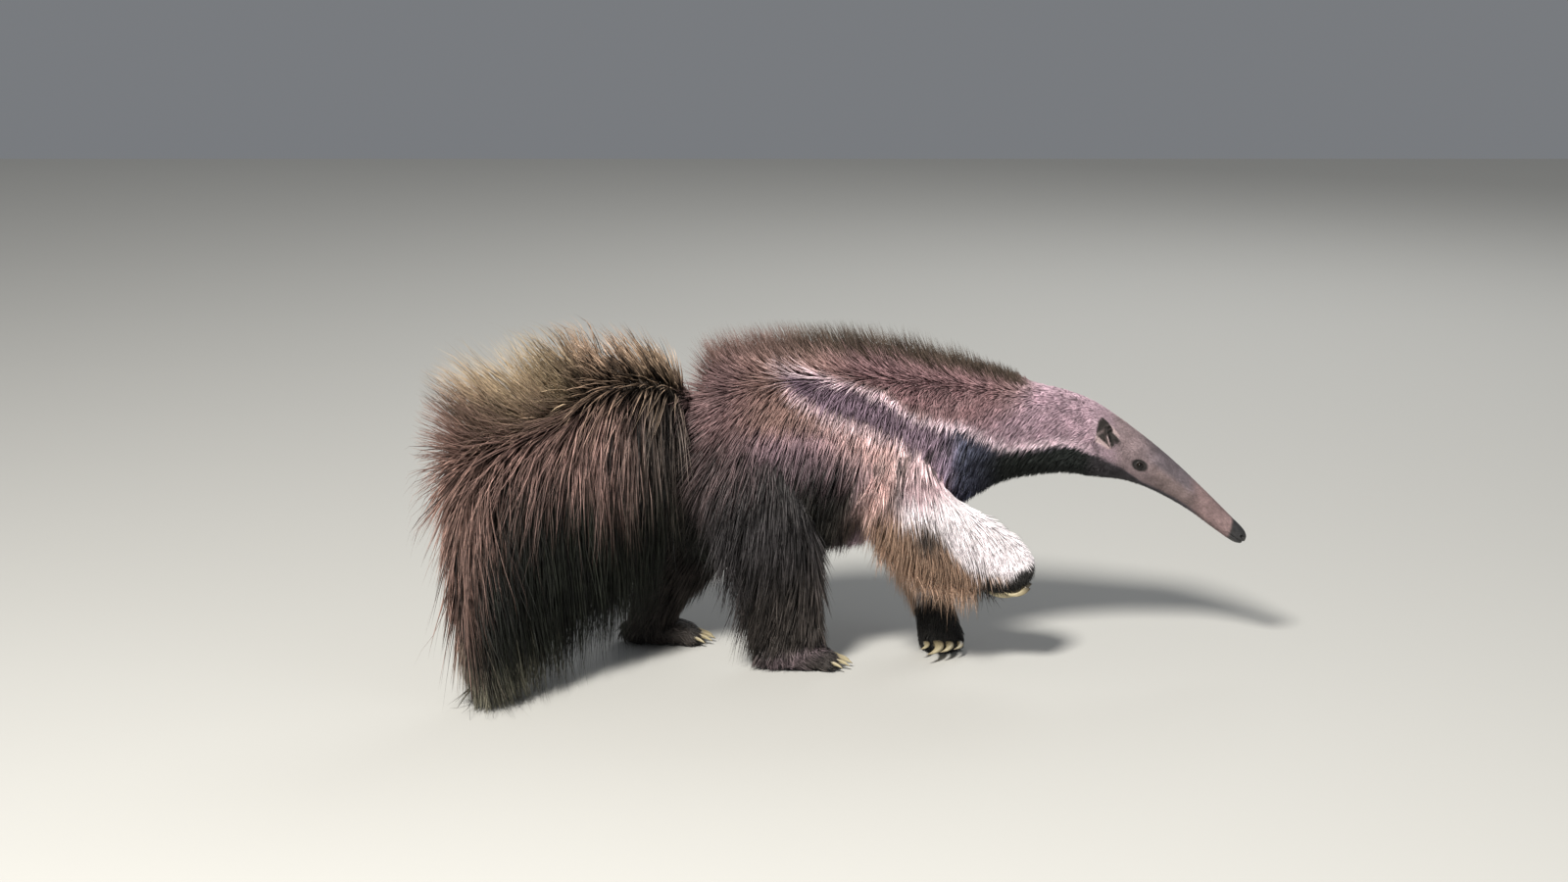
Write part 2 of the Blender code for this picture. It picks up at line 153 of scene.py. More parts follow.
# Rings of points round a middle line: across is the first half size, towards the hint is the second
def tubeRings(centres, halfAcross, halfUp, hint, sides, power=2.2, pear=None):
    along = unit(np.gradient(centres, axis=0))
    side = unit(np.cross(hint, along))
    lift = np.cross(along, side)
    across, up, height = ovalPoints(sides, power)
    a = halfAcross[:, None] * across
    if pear is not None:
        a = a * (1 - pear[:, None] * height)
    b = halfUp[:, None] * up
    return centres[:, None] + side[:, None] * a[..., None] + lift[:, None] * b[..., None]


def meshFromTubes(name, tubes):
    points, faces = [], []
    for rings in tubes:
        first = len(points)
        count, sides = rings.shape[:2]
        points.extend(rings.reshape(-1, 3).tolist())
        for i in range(count - 1):
            a, b = first + i * sides, first + (i + 1) * sides
            faces.extend((a + j, a + (j + 1) % sides, b + (j + 1) % sides, b + j) for j in range(sides))
        faces.append(tuple(range(first, first + sides)))
        faces.append(tuple(range(len(points) - sides, len(points))))
    mesh = bpy.data.meshes.new(name)
    mesh.from_pydata(points, [], faces)
    bm = bmesh.new()
    bm.from_mesh(mesh)
    bmesh.ops.recalc_face_normals(bm, faces=bm.faces)
    bm.to_mesh(mesh)
    bm.free()
    return mesh


def newObject(name, mesh):
    obj = bpy.data.objects.new(name, mesh)
    bpy.context.scene.collection.objects.link(obj)
    return obj


# The mesh that an object's modifiers make, without the object
def finishedMesh(obj):
    bpy.context.view_layer.update()
    graph = bpy.context.evaluated_depsgraph_get()
    evaluated = obj.evaluated_get(graph)
    mesh = bpy.data.meshes.new_from_object(evaluated, preserve_all_data_layers=True, depsgraph=graph)
    bpy.data.objects.remove(obj)
    return mesh


def spineTube(count, sides):
    x, z, halfHeight, halfWidth, coat = smoothRows(body["spine"], count).T
    centres = np.stack([x, 0 * x, z], axis=1)
    pear = body["pear"] * np.clip((body["neckFrom"] + 0.03 - x) / 0.06, 0, 1)
    return tubeRings(centres, halfWidth - coat, halfHeight - coat, (0, 0, 1), sides, pear=pear)


def legTube(rows):
    samples = smoothRows(rows, 40)
    coat = samples[:, 5]
    return tubeRings(samples[:, :3], samples[:, 4] - coat, samples[:, 3] - coat, (1, 0, 0.25), 28)


def tailMiddle(x, z):
    back = np.maximum((tail["rootX"] - x) / tail["swingLength"], 0)
    low = 1 - z / tail["height"]
    return -(tail["swingHigh"] + (tail["swingLow"] - tail["swingHigh"]) * low) * back ** 1.25


def tailTube():
    z, front, rear, halfWidth = (column[:, None] for column in smoothRows(tail["core"], 40).T)
    across, up, _ = ovalPoints(48, 2.4)
    x = (front + rear) / 2 + (front - rear) / 2 * across
    return np.stack([x, tailMiddle(x, z) + halfWidth * up, z + 0 * x], axis=2)


toePlaces = (-1.0, -0.5, 0.0, 0.5, 1.0)    # across the hind foot, as shares of its spread


def hindFootTubes(side):
    ankle = np.array(hindFoot["ankles"][side])
    ahead, halfWidth, height = smoothRows(hindFoot["rows"], 20).T
    coat = hindFoot["coat"]
    centres = np.stack([ankle[0] + ahead, ankle[1] + 0 * ahead, height / 2], axis=1)
    tubes = [tubeRings(centres, halfWidth - coat, height / 2 - coat / 2, (0, 0, 1), 24, power=2.6)]
    outward = -1 if side == "R" else 1
    radius = hindFoot["toeRadius"]
    for place in toePlaces:
        steps = np.linspace(-1, 1, 9)
        size = radius * np.sqrt(np.maximum(1 - abs(steps) ** 3, 0.02))
        x = ankle[0] + 0.083 - 0.012 * place ** 2 + steps * 0.019
        y = ankle[1] + outward * hindFoot["spread"] * place * (1 + 0.15 * steps)
        centres = np.stack([x, y, radius + 0.002 + 0 * x], axis=1)
        tubes.append(tubeRings(centres, size, size * 1.1, (0, 0, 1), 16))
    return tubes


def skinParts():
    tubes = [spineTube(150, 56), tailTube()]
    tubes += [legTube(rows) for rows in legs.values()]
    for side in ("R", "L"):
        tubes += hindFootTubes(side)
    return tubes


def coordinates(mesh):
    flat = np.empty(len(mesh.vertices) * 3)
    mesh.vertices.foreach_get("co", flat)
    return flat.reshape(-1, 3)


def setCoordinates(mesh, points):
    mesh.vertices.foreach_set("co", np.ascontiguousarray(points, dtype=np.float32).ravel())
    mesh.update()


def vertexNormals(mesh):
    flat = np.empty(len(mesh.vertices) * 3)
    mesh.vertex_normals.foreach_get("vector", flat)
    return flat.reshape(-1, 3)


# Soft step from 0 at the first value to 1 at the second
def step(start, end, value):
    t = np.clip((value - start) / (end - start), 0, 1)
    return t * t * (3 - 2 * t)


head = {
    "finerFrom": 0.520,
    "eye": (0.655, 0.0395, 0.3765), "eyeRadius": 0.0078,
    "eyeOpening": (0.0068, 0.0043),      # half length and half height of the gap between the lids
    "eyeTurn": (0.10, 1.0, 0.16),        # where it looks
    "lid": 0.0011,
    "brow": ((0.640, 0.036, 0.396), 0.016, 0.0016),       # place, size, height
    "cheek": ((0.606, 0.046, 0.386), 0.022, 0.0020),
    "hollow": ((0.690, 0.030, 0.352), 0.018, -0.0010),    # in front of the eye
    "fold": ((0.5700, 0.4240), (0.5800, 0.3900), (0.5930, 0.3680)),
    "foldDepth": 0.0030, "foldWidth": 0.0042,
    "mouth": ((0.8575, 0.2200), (0.8420, 0.2295), (0.8250, 0.2415)),
    "mouthDepth": 0.0021, "mouthWidth": 0.0013,
    "noseEdge": (0.823, 0.831),          # where the short hair ends and the bare nose begins
    "nostril": (0.8535, 0.0092, 0.2330), "nostrilSize": (0.0036, 0.0019), "nostrilDepth": 0.0042,
}
ears = {
    "place": (0.603, 0.0500, 0.4215), "height": 0.049, "width": 0.029, "wall": 0.0030,
    "cup": 0.012, "sunk": 0.013,    # depth of the hollow, and how far the foot of the ear lies in the head
}


# How far points in the side view lie from a bent line
def distanceToLine(points, line):
    best = np.full(len(points), 9.0)
    for a, b in zip(np.array(line)[:-1], np.array(line)[1:]):
        share = np.clip(((points - a) @ (b - a)) / ((b - a) @ (b - a)), 0, 1)
        best = np.minimum(best, np.linalg.norm(points - a - share[:, None] * (b - a), axis=1))
    return best


def smoothOnce(bm, verts):
    bmesh.ops.smooth_vert(bm, verts=verts, factor=0.5, use_axis_x=True, use_axis_y=True, use_axis_z=True)


def refine(bm, chosen):
    edges = {edge for face in bm.faces if chosen(face.calc_center_median()) for edge in face.edges}
    bmesh.ops.subdivide_edges(bm, edges=list(edges), cuts=1, use_grid_fill=True, smooth=0.0)


def nearEye(p, radius):
    return (Vector((p.x, abs(p.y), p.z)) - Vector(head["eye"])).length < radius


def snapToHead(bm, tree):
    for v in bm.verts:
        weight = min(max((v.co.x - 0.50) / 0.05, 0), 1)
        if weight > 0:
            nearest = tree.find_nearest(v.co)[0]
            v.co = v.co.lerp(nearest, weight)


def makeBody():
    rough = newObject("rough_body", meshFromTubes("rough_body", skinParts()))
    net = rough.modifiers.new("net", "REMESH")
    net.mode = "VOXEL"
    net.voxel_size = body["voxel"]
    mesh = finishedMesh(rough)
    bm = bmesh.new()
    bm.from_mesh(mesh)
    for _ in range(body["smoothing"]):
        smoothOnce(bm, bm.verts)
    fine = bmesh.new()
    fine.from_mesh(meshFromTubes("fine_spine", [spineTube(700, 128)]))
    tree = BVHTree.FromBMesh(fine)
    snapToHead(bm, tree)
    refine(bm, lambda p: p.x > head["finerFrom"] or p.z < 0.045)
    refine(bm, lambda p: p.x > 0.80 or nearEye(p, 0.042))
    snapToHead(bm, tree)
    refine(bm, lambda p: p.x > 0.832 or nearEye(p, 0.020))
    snapToHead(bm, tree)
    bmesh.ops.triangulate(bm, faces=bm.faces)
    bm.to_mesh(mesh)
    bm.free()
    fine.free()
    return mesh


# Brow, cheek, fold, mouth, nostrils and eyelids, pressed into the head
def sculptHead(mesh):
    p = coordinates(mesh)
    n = vertexNormals(mesh)
    q = np.stack([p[:, 0], abs(p[:, 1]), p[:, 2]], axis=1)
    push = np.zeros(len(p))
    for place, size, height in (head["brow"], head["cheek"], head["hollow"]):
        push += height * np.exp(-((q - place) ** 2).sum(1) / size ** 2)
    sideView = q[:, [0, 2]]
    gap = distanceToLine(sideView, head["fold"])
    onSide = step(0.010, 0.030, q[:, 1]) * step(0.54, 0.56, q[:, 0])
    push -= head["foldDepth"] * onSide * np.exp(-(gap / head["foldWidth"]) ** 2)
    push += 0.5 * head["foldDepth"] * onSide * np.exp(-(gap / head["foldWidth"] - 2) ** 2)
    gap = distanceToLine(sideView, head["mouth"])
    nose = step(0.815, 0.835, q[:, 0])
    push -= nose * head["mouthDepth"] * np.exp(-(gap / head["mouthWidth"]) ** 2)
    push += nose * 0.25 * head["mouthDepth"] * np.exp(-((gap - 0.0035) / 0.002) ** 2)
    snout = unit(np.array((0.78, 0, -0.62)))
    offset = q - head["nostril"]
    length = offset @ snout
    height = offset @ np.array((0.62, 0, 0.78)) + 30 * length ** 2      # a comma, curled up at its ends
    spread = (length / head["nostrilSize"][0]) ** 2 + (height / head["nostrilSize"][1]) ** 2
    push -= nose * head["nostrilDepth"] * np.exp(-spread ** 1.5)
    push += nose * 0.0007 * np.exp(-(np.sqrt(spread) - 1.7) ** 2 / 0.15)
    p = p + n * push[:, None]
    for sign in (-1, 1):
        p = shapeLids(p, sign)
    setCoordinates(mesh, p)


# How many openings of the lids a point is away from the eye's middle, in the plane of the eye
def eyeShare(p, sign):
    centre = np.array(head["eye"]) * (1, sign, 1)
    out = unit(np.array(head["eyeTurn"]) * (1, sign, 1))
    length = unit(np.cross((0, 0, 1), out)) * sign * -1
    length = unit(length - 0.45 * np.array((0, 0, 1)) * np.sign(length[0]))
    length = unit(length - out * (length @ out))
    height = np.cross(out, length)
    q = p - centre
    halfLength, halfHeight = head["eyeOpening"]
    share = np.sqrt(((q @ length) / halfLength) ** 2 + ((q @ height) / halfHeight) ** 2)
    behind = (q @ out) < -0.006
    return np.where(behind | (np.linalg.norm(q, axis=1) > 0.04), 9.0, share), q, centre


def shapeLids(p, sign):
    share, q, centre = eyeShare(p, sign)
    reach = np.linalg.norm(q, axis=1)
    outwards = unit(q)
    radius = head["eyeRadius"]
    inside = centre + outwards * (radius - 0.0016)
    lid = centre + outwards * (radius + head["lid"])
    lidWeight = np.clip(1 - (share - 1.35) / 1.1, 0, 1) ** 1.3 * (reach < radius * 3)
    lidWeight = lidWeight * (3 - 2 * lidWeight) * lidWeight
    shaped = p + (lid - p) * lidWeight[:, None]
    crease = 0.0007 * np.exp(-((share - 1.85) / 0.20) ** 2)
    shaped -= outwards * crease[:, None]
    gap = 1 - step(0.94, 1.06, share)
    return shaped + (inside - shaped) * gap[:, None]


def earAxes(side):
    outward = -1 if side == "R" else 1
    base = Vector(ears["place"])
    base.y *= outward
    up = Vector((-0.30, outward * 0.42, 1.0)).normalized()
    back = Vector((-1.0, -outward * 0.55, 0.0))
    back = (back - up * back.dot(up)).normalized()
    return base, up, back, up.cross(back)


# Half the width of an ear at a share of its height
def earWidth(v):
    return ears["width"] / 2 * (0.60 + 0.85 * v - 0.2 * v * v)


# A rounded cup open to the front and the outside, with a soft rim
def earMesh(side):
    base, up, back, across = earAxes(side)
    rows, columns = 13, 13
    points, faces = [], []
    for i in range(rows):
        v = i / (rows - 1)
        width = earWidth(v) * math.sqrt(1 - 0.95 * v ** 4)
        for j in range(columns):
            u = 2 * j / (columns - 1) - 1
            depth = ears["cup"] * (1 - abs(u) ** 1.7) * (1 - 0.5 * v) - 0.003 * abs(u) ** 4 * (1 - v)
            curl = 0.0012 * math.sin(5 * v + 1.5 * u)
            rise = ears["height"] * v - ears["sunk"]
            points.append(base + up * rise + across * width * u + back * (depth + curl))
    for i in range(rows - 1):
        for j in range(columns - 1):
            a = i * columns + j
            faces.append((a, a + 1, a + columns + 1, a + columns))
    mesh = bpy.data.meshes.new("ear_" + side)
    mesh.from_pydata(points, [], faces)
    ear = newObject("ear_" + side, mesh)
    wall = ear.modifiers.new("wall", "SOLIDIFY")
    wall.thickness = ears["wall"]
    wall.offset = 0.0
    rounding = ear.modifiers.new("rounding", "SUBSURF")
    rounding.levels = rounding.render_levels = 2
    return finishedMesh(ear)


def joinEars(mesh):
    skin = newObject("skin", mesh)
    bm = bmesh.new()
    for side in ("R", "L"):
        bm.from_mesh(earMesh(side))
    bmesh.ops.recalc_face_normals(bm, faces=bm.faces)
    both = bpy.data.meshes.new("ears")
    bm.to_mesh(both)
    bm.free()
    earPair = newObject("ears", both)
    join = skin.modifiers.new("ears", "BOOLEAN")
    join.operation = "UNION"
    join.solver = "EXACT"
    join.object = earPair
    joined = finishedMesh(skin)
    bpy.data.objects.remove(earPair)
    bm = bmesh.new()
    bm.from_mesh(joined)
    bmesh.ops.remove_doubles(bm, verts=bm.verts, dist=0.00008)
    bmesh.ops.triangulate(bm, faces=bm.faces)
    roots = [earAxes(side) for side in ("R", "L")]
    for _ in range(5):
        near = [v for v in bm.verts
                if any((v.co - base).length < 0.024 and abs((v.co - base).dot(up) + 0.002) < 0.007
                       for base, up, _, _ in roots)]
        smoothOnce(bm, near)
    bm.to_mesh(joined)
    bm.free()
    return joined


skinMesh = makeBody()
sculptHead(skinMesh)
skinMesh = joinEars(skinMesh)
skinMesh.shade_smooth()
print("skin shaped:", len(skinMesh.polygons), "triangles")


# Where each point of the skin belongs, and how its hair grows
def nearTube(p, rows, coatColumn):
    samples = smoothRows(rows, 60)
    centres = samples[:, :3]
    along = unit(np.gradient(centres, axis=0))
    side = unit(np.cross((1, 0, 0.25), along))
    lift = np.cross(along, side)
    best = np.full(len(p), 99.0)
    place = np.zeros(len(p))
    fore = np.zeros(len(p))
    lateral = np.zeros(len(p))
    axis = np.zeros((len(p), 3))
    for k in range(len(samples)):
        q = p - centres[k]
        a = (q @ side[k]) / (samples[k, 4] - samples[k, coatColumn])
        b = (q @ lift[k]) / (samples[k, 3] - samples[k, coatColumn])
        c = (q @ along[k]) / 0.030
        e = np.sqrt(a * a + b * b + c * c)
        closer = e < best
        best = np.where(closer, e, best)
        place = np.where(closer, k * (len(rows) - 1) / (len(samples) - 1), place)
        fore = np.where(closer, b, fore)
        lateral = np.where(closer, a, lateral)
        axis[closer] = along[k]
    return {"e": best, "t": place, "fore": fore, "side": lateral, "axis": axis}


def nearSpine(p):
    samples = smoothRows(body["spine"], 200)
    x = samples[:, 0]
    z, halfHeight, halfWidth, coat = (np.interp(p[:, 0], x, samples[:, k]) for k in (1, 2, 3, 4))
    slope = np.interp(p[:, 0], x, np.gradient(samples[:, 1], x))
    up = (p[:, 2] - z) / (halfHeight - coat) / np.sqrt(1 + slope ** 2)
    across = p[:, 1] / (halfWidth - coat)
    beyond = np.maximum(-0.19 - p[:, 0], 0) / 0.02
    return {"e": np.sqrt(up ** 2 + across ** 2 + beyond ** 2), "up": up, "slope": slope, "coat": coat,
            "top": z + halfHeight}


def nearTail(p):
    samples = smoothRows(tail["core"], 120)
    z = samples[:, 0]
    front, rear, halfWidth = (np.interp(p[:, 2], z, samples[:, k]) for k in (1, 2, 3))
    a = (p[:, 0] - (front + rear) / 2) / ((front - rear) / 2)
    b = (p[:, 1] - tailMiddle(p[:, 0], p[:, 2])) / halfWidth
    beyond = (np.maximum(z[0] - p[:, 2], 0) + np.maximum(p[:, 2] - z[-1], 0)) / 0.02
    return {"e": (abs(a) ** 2.4 + abs(b) ** 2.4) ** (1 / 2.4) + beyond, "back": -a, "side": b}


def places(p):
    found = {"spine": nearSpine(p), "tail": nearTail(p)}
    for name, rows in legs.items():
        found[name] = nearTube(p, rows, 5)
    foot = {"e": np.full(len(p), 9.0), "side": np.zeros(len(p))}
    for ankle in hindFoot["ankles"].values():
        e = np.sqrt(((p[:, 0] - ankle[0] - 0.035) / 0.070) ** 2 + ((p[:, 1] - ankle[1]) / 0.036) ** 2
                    + (p[:, 2] / 0.046) ** 2)
        foot["e"] = np.minimum(foot["e"], e)
    found["foot"] = foot
    scores = {name: np.exp(-7 * np.maximum(part["e"] - 0.9, 0)) for name, part in found.items()}
    total = sum(scores.values()) + 1e-9
    for name, part in found.items():
        part["weight"] = scores[name] / total
    return found


# Rows of x and one or more values, read at any x
def curves(x, rows):
    columns = list(zip(*rows))
    return [np.interp(x, columns[0], column) for column in columns[1:]]


def curve(x, *pairs):
    return curves(x, pairs)[0]


growth = {
    # along the body: x, length
    "body": ((-0.20, 0.075), (-0.13, 0.085), (-0.03, 0.088), (0.09, 0.078), (0.20, 0.066), (0.28, 0.046),
             (0.345, 0.032), (0.40, 0.024), (0.46, 0.019), (0.53, 0.014), (0.57, 0.0100), (0.61, 0.0070),
             (0.66, 0.0050), (0.72, 0.0038), (0.80, 0.0026), (0.85, 0.0018)),
    # along a leg: row, length
    "fore": ((0, 0.055), (2, 0.050), (3, 0.042), (4, 0.036), (5, 0.030), (6, 0.024), (7, 0.016),
             (8, 0.009), (9, 0.005)),
    "hind": ((0, 0.080), (2, 0.080), (3, 0.072), (4, 0.066), (5, 0.058), (6, 0.032), (7, 0.014)),
    "foot": 0.011,
    "fringe": 0.075,        # behind and under the forearm
    "hindFringe": 0.115,    # behind the shanks
    "tailSide": 0.175, "tailRear": 0.110, "tailTip": 0.075,
    # over the tail: x, height of the fleshy part
    "tailTop": ((-0.588, 0.400), (-0.560, 0.450), (-0.450, 0.490), (-0.395, 0.525), (-0.360, 0.545),
                (-0.240, 0.545), (-0.205, 0.525), (-0.170, 0.490), (-0.150, 0.450)),
    # over the tail: x, length, share backwards, share upwards and fall of the hair that rises from the top
    "tailCrown": ((-0.588, 0.075, 0.30, -0.90, 0.35), (-0.560, 0.080, 0.48, 0.40, 0.70),
                  (-0.520, 0.115, 0.52, 0.80, 0.90), (-0.460, 0.135, 0.55, 0.82, 0.90),
                  (-0.410, 0.095, 0.50, 0.82, 0.50), (-0.350, 0.105, 0.42, 0.88, 0.30),
                  (-0.250, 0.120, 0.30, 0.94, 0.18), (-0.180, 0.105, 0.32, 0.94, 0.18)),
    # down the sides of the tail: x, slant of the hanging hair high up and low down
    "tailSlant": ((-0.620, 0.24, 0.34), (-0.580, 0.18, 0.28), (-0.530, 0.04, 0.04),
                  (-0.470, -0.14, -0.10), (-0.400, -0.26, -0.14), (-0.335, -0.14, -0.14),
                  (-0.255, -0.18, -0.12), (-0.160, -0.10, -0.10)),
    # along the back: x, height of the crest
    "crest": ((-0.185, 0.030), (-0.140, 0.048), (-0.090, 0.056), (0.000, 0.062), (0.090, 0.068),
              (0.180, 0.068), (0.270, 0.060), (0.360, 0.038), (0.450, 0.012)),
    # how far from the middle of the back the crest starts to rise, and where it stands
    "crestWidths": (0.066, 0.012),
    # along the body: x, share towards the tail, share downwards
    "flow": ((-0.20, 0.90, 0.45), (-0.13, 0.75, 0.70), (-0.05, 0.52, 0.86), (0.05, 0.40, 0.92),
             (0.15, 0.36, 0.93), (0.25, 0.42, 0.90), (0.33, 0.62, 0.75), (0.42, 0.82, 0.50),
             (0.52, 0.95, 0.28), (0.62, 1.0, 0.08), (0.86, 1.0, 0.0)),
}
markings = {
    # the band from the throat to the back, seen from the side: x, z of its upper and lower edge
    "upperEdge": ((-0.010, 0.557), (0.050, 0.545), (0.117, 0.528), (0.185, 0.503), (0.231, 0.472),
                  (0.276, 0.457), (0.321, 0.451), (0.368, 0.432), (0.410, 0.412), (0.461, 0.414),
                  (0.510, 0.418), (0.535, 0.415), (0.560, 0.402), (0.594, 0.385), (0.626, 0.368),
                  (0.662, 0.339), (0.701, 0.320), (0.757, 0.288), (0.830, 0.240)),
    "lowerEdge": ((-0.010, 0.556), (0.018, 0.524), (0.076, 0.493), (0.140, 0.470), (0.199, 0.446),
                  (0.243, 0.418), (0.276, 0.384), (0.304, 0.345), (0.330, 0.250)),
    "bandStart": -0.010, "bandEnd": 0.740,
    # on the lifted foreleg: lower edge of the white, upper edge of the black knuckles, and a dark parting
    "whiteEdge": ((0.170, 0.310), (0.213, 0.293), (0.245, 0.287), (0.264, 0.288), (0.291, 0.262),
                  (0.310, 0.227), (0.345, 0.194), (0.365, 0.184), (0.460, 0.184)),
    "knuckleEdge": ((0.345, 0.134), (0.365, 0.170), (0.390, 0.175), (0.413, 0.181), (0.430, 0.197),
                    (0.460, 0.206)),
    "parting": ((0.222, 0.400), (0.205, 0.360), (0.183, 0.312)),
    "elbowPatch": ((0.262, 0.262), 0.026),    # middle and size of the dark patch beside the elbow
    # on the flank: x, z where painted shade darkens it towards the belly
    "flankShadeEdge": ((-0.10, 0.41), (0.02, 0.415), (0.12, 0.400), (0.18, 0.36), (0.24, 0.30)),
    # low on the tail: z, x where its lit rear edge ends
    "tailEdge": ((0.10, -0.545), (0.23, -0.550), (0.32, -0.515), (0.40, -0.490)),
}
coatColours = {
    # the colour for the low flank is painted shade, on the belly side and at the rear of the trunk
    "flank": (0.420, 0.288, 0.335), "flankLowShade": (0.018, 0.017, 0.015), "back": (0.355, 0.230, 0.204),
    "rump": (0.250, 0.159, 0.162), "shoulder": (0.620, 0.428, 0.400), "neckBrown": (0.310, 0.190, 0.200),
    "neck": (0.505, 0.365, 0.425), "head": (0.405, 0.302, 0.345), "face": (0.285, 0.218, 0.226),
    "snoutTop": (0.140, 0.115, 0.128), "snoutSide": (0.180, 0.135, 0.132),
    # the jaw colour is the band's black where it meets the jaw, also used as painted shade under the jaw,
    # along the jaw line and in the cheek fold
    "snoutEnd": (0.250, 0.172, 0.170), "jawDarkAndShade": (0.050, 0.045, 0.050), "white": (0.970, 0.910, 0.940),
    "pinkArm": (0.640, 0.480, 0.510), "edging": (0.990, 0.810, 0.880), "band": (0.270, 0.195, 0.250),
    "chest": (0.080, 0.086, 0.128), "throatBlackAndShade": (0.022, 0.026, 0.024), "fringe": (0.430, 0.290, 0.210),
    "darkPatch": (0.085, 0.070, 0.062), "thigh": (0.045, 0.041, 0.043), "hindLow": (0.052, 0.044, 0.040),
    "knuckles": (0.022, 0.021, 0.020), "crest": (0.053, 0.039, 0.029), "crestRear": (0.115, 0.073, 0.063),
    "tailMiddle": (0.185, 0.118, 0.104), "tailCrown": (0.200, 0.142, 0.096),
    # the tail's top colour is tan hair made paler as painted sunlight
    "tailTop": (0.360, 0.285, 0.185), "tailFront": (0.060, 0.048, 0.042),
    # the colour for the low tail is dark hair deepened by painted shade
    "tailRear": (0.160, 0.100, 0.083), "tailLowDarkAndShade": (0.006, 0.007, 0.005), "tailTip": (0.110, 0.104, 0.078),
    # the ear's inside colour is darker skin deepened by painted shade; its rim colour is pale, partly
    # painted sunlight
    "nose": (0.035, 0.034, 0.035), "lids": (0.026, 0.023, 0.022), "earInside": (0.030, 0.026, 0.024),
    "earRimPaleAndLit": (0.520, 0.400, 0.400), "earBack": (0.034, 0.028, 0.026),
}


class Layers:
    def __init__(self, start):
        self.value = np.array(start, float)

    def add(self, colour, mask):
        self.value += (np.array(coatColours[colour]) - self.value) * np.clip(mask, 0, 1)[:, None]


def earPlaces(p):
    best = None
    for side in ("R", "L"):
        base, up, back, across = (np.array(v) for v in earAxes(side))
        q = p - base
        v = (q @ up + ears["sunk"]) / ears["height"]
        u = (q @ across) / earWidth(np.clip(v, 0, 1))
        depth = q @ back
        near = (abs(u) < 1.25) & (v > 0.16) & (v < 1.1) & (abs(depth) < 0.022)
        foot = (np.linalg.norm(q, axis=1) < 0.022) & (depth < 0.010) & (depth > -0.004)
        near &= (q @ up > 0.004) | foot
        found = {"v": v, "u": u, "in": near, "back": depth, "axisBack": np.tile(back, (len(p), 1)),
                 "axisUp": np.tile(up, (len(p), 1)), "root": q}
        if best is None:
            best = found
        else:
            own = p[:, 1] > 0
            best = {key: np.where(own if found[key].ndim == 1 else own[:, None], found[key], best[key])
                    for key in found}
    best["edge"] = np.maximum(abs(best["u"]), best["v"])
    return best


# How far the skin of an ear faces backwards, and its share of the hollow that faces forwards
def earFacing(ear, n):
    facing = (n * ear["axisBack"]).sum(1)
    return facing, step(-0.15, -0.45, facing)


# The bare dark tip of the snout, which reaches further back underneath
def noseShare(p):
    start, end = head["noseEdge"]
    return step(start, end, p[:, 0] + 0.25 * (head["nostril"][2] - p[:, 2]))


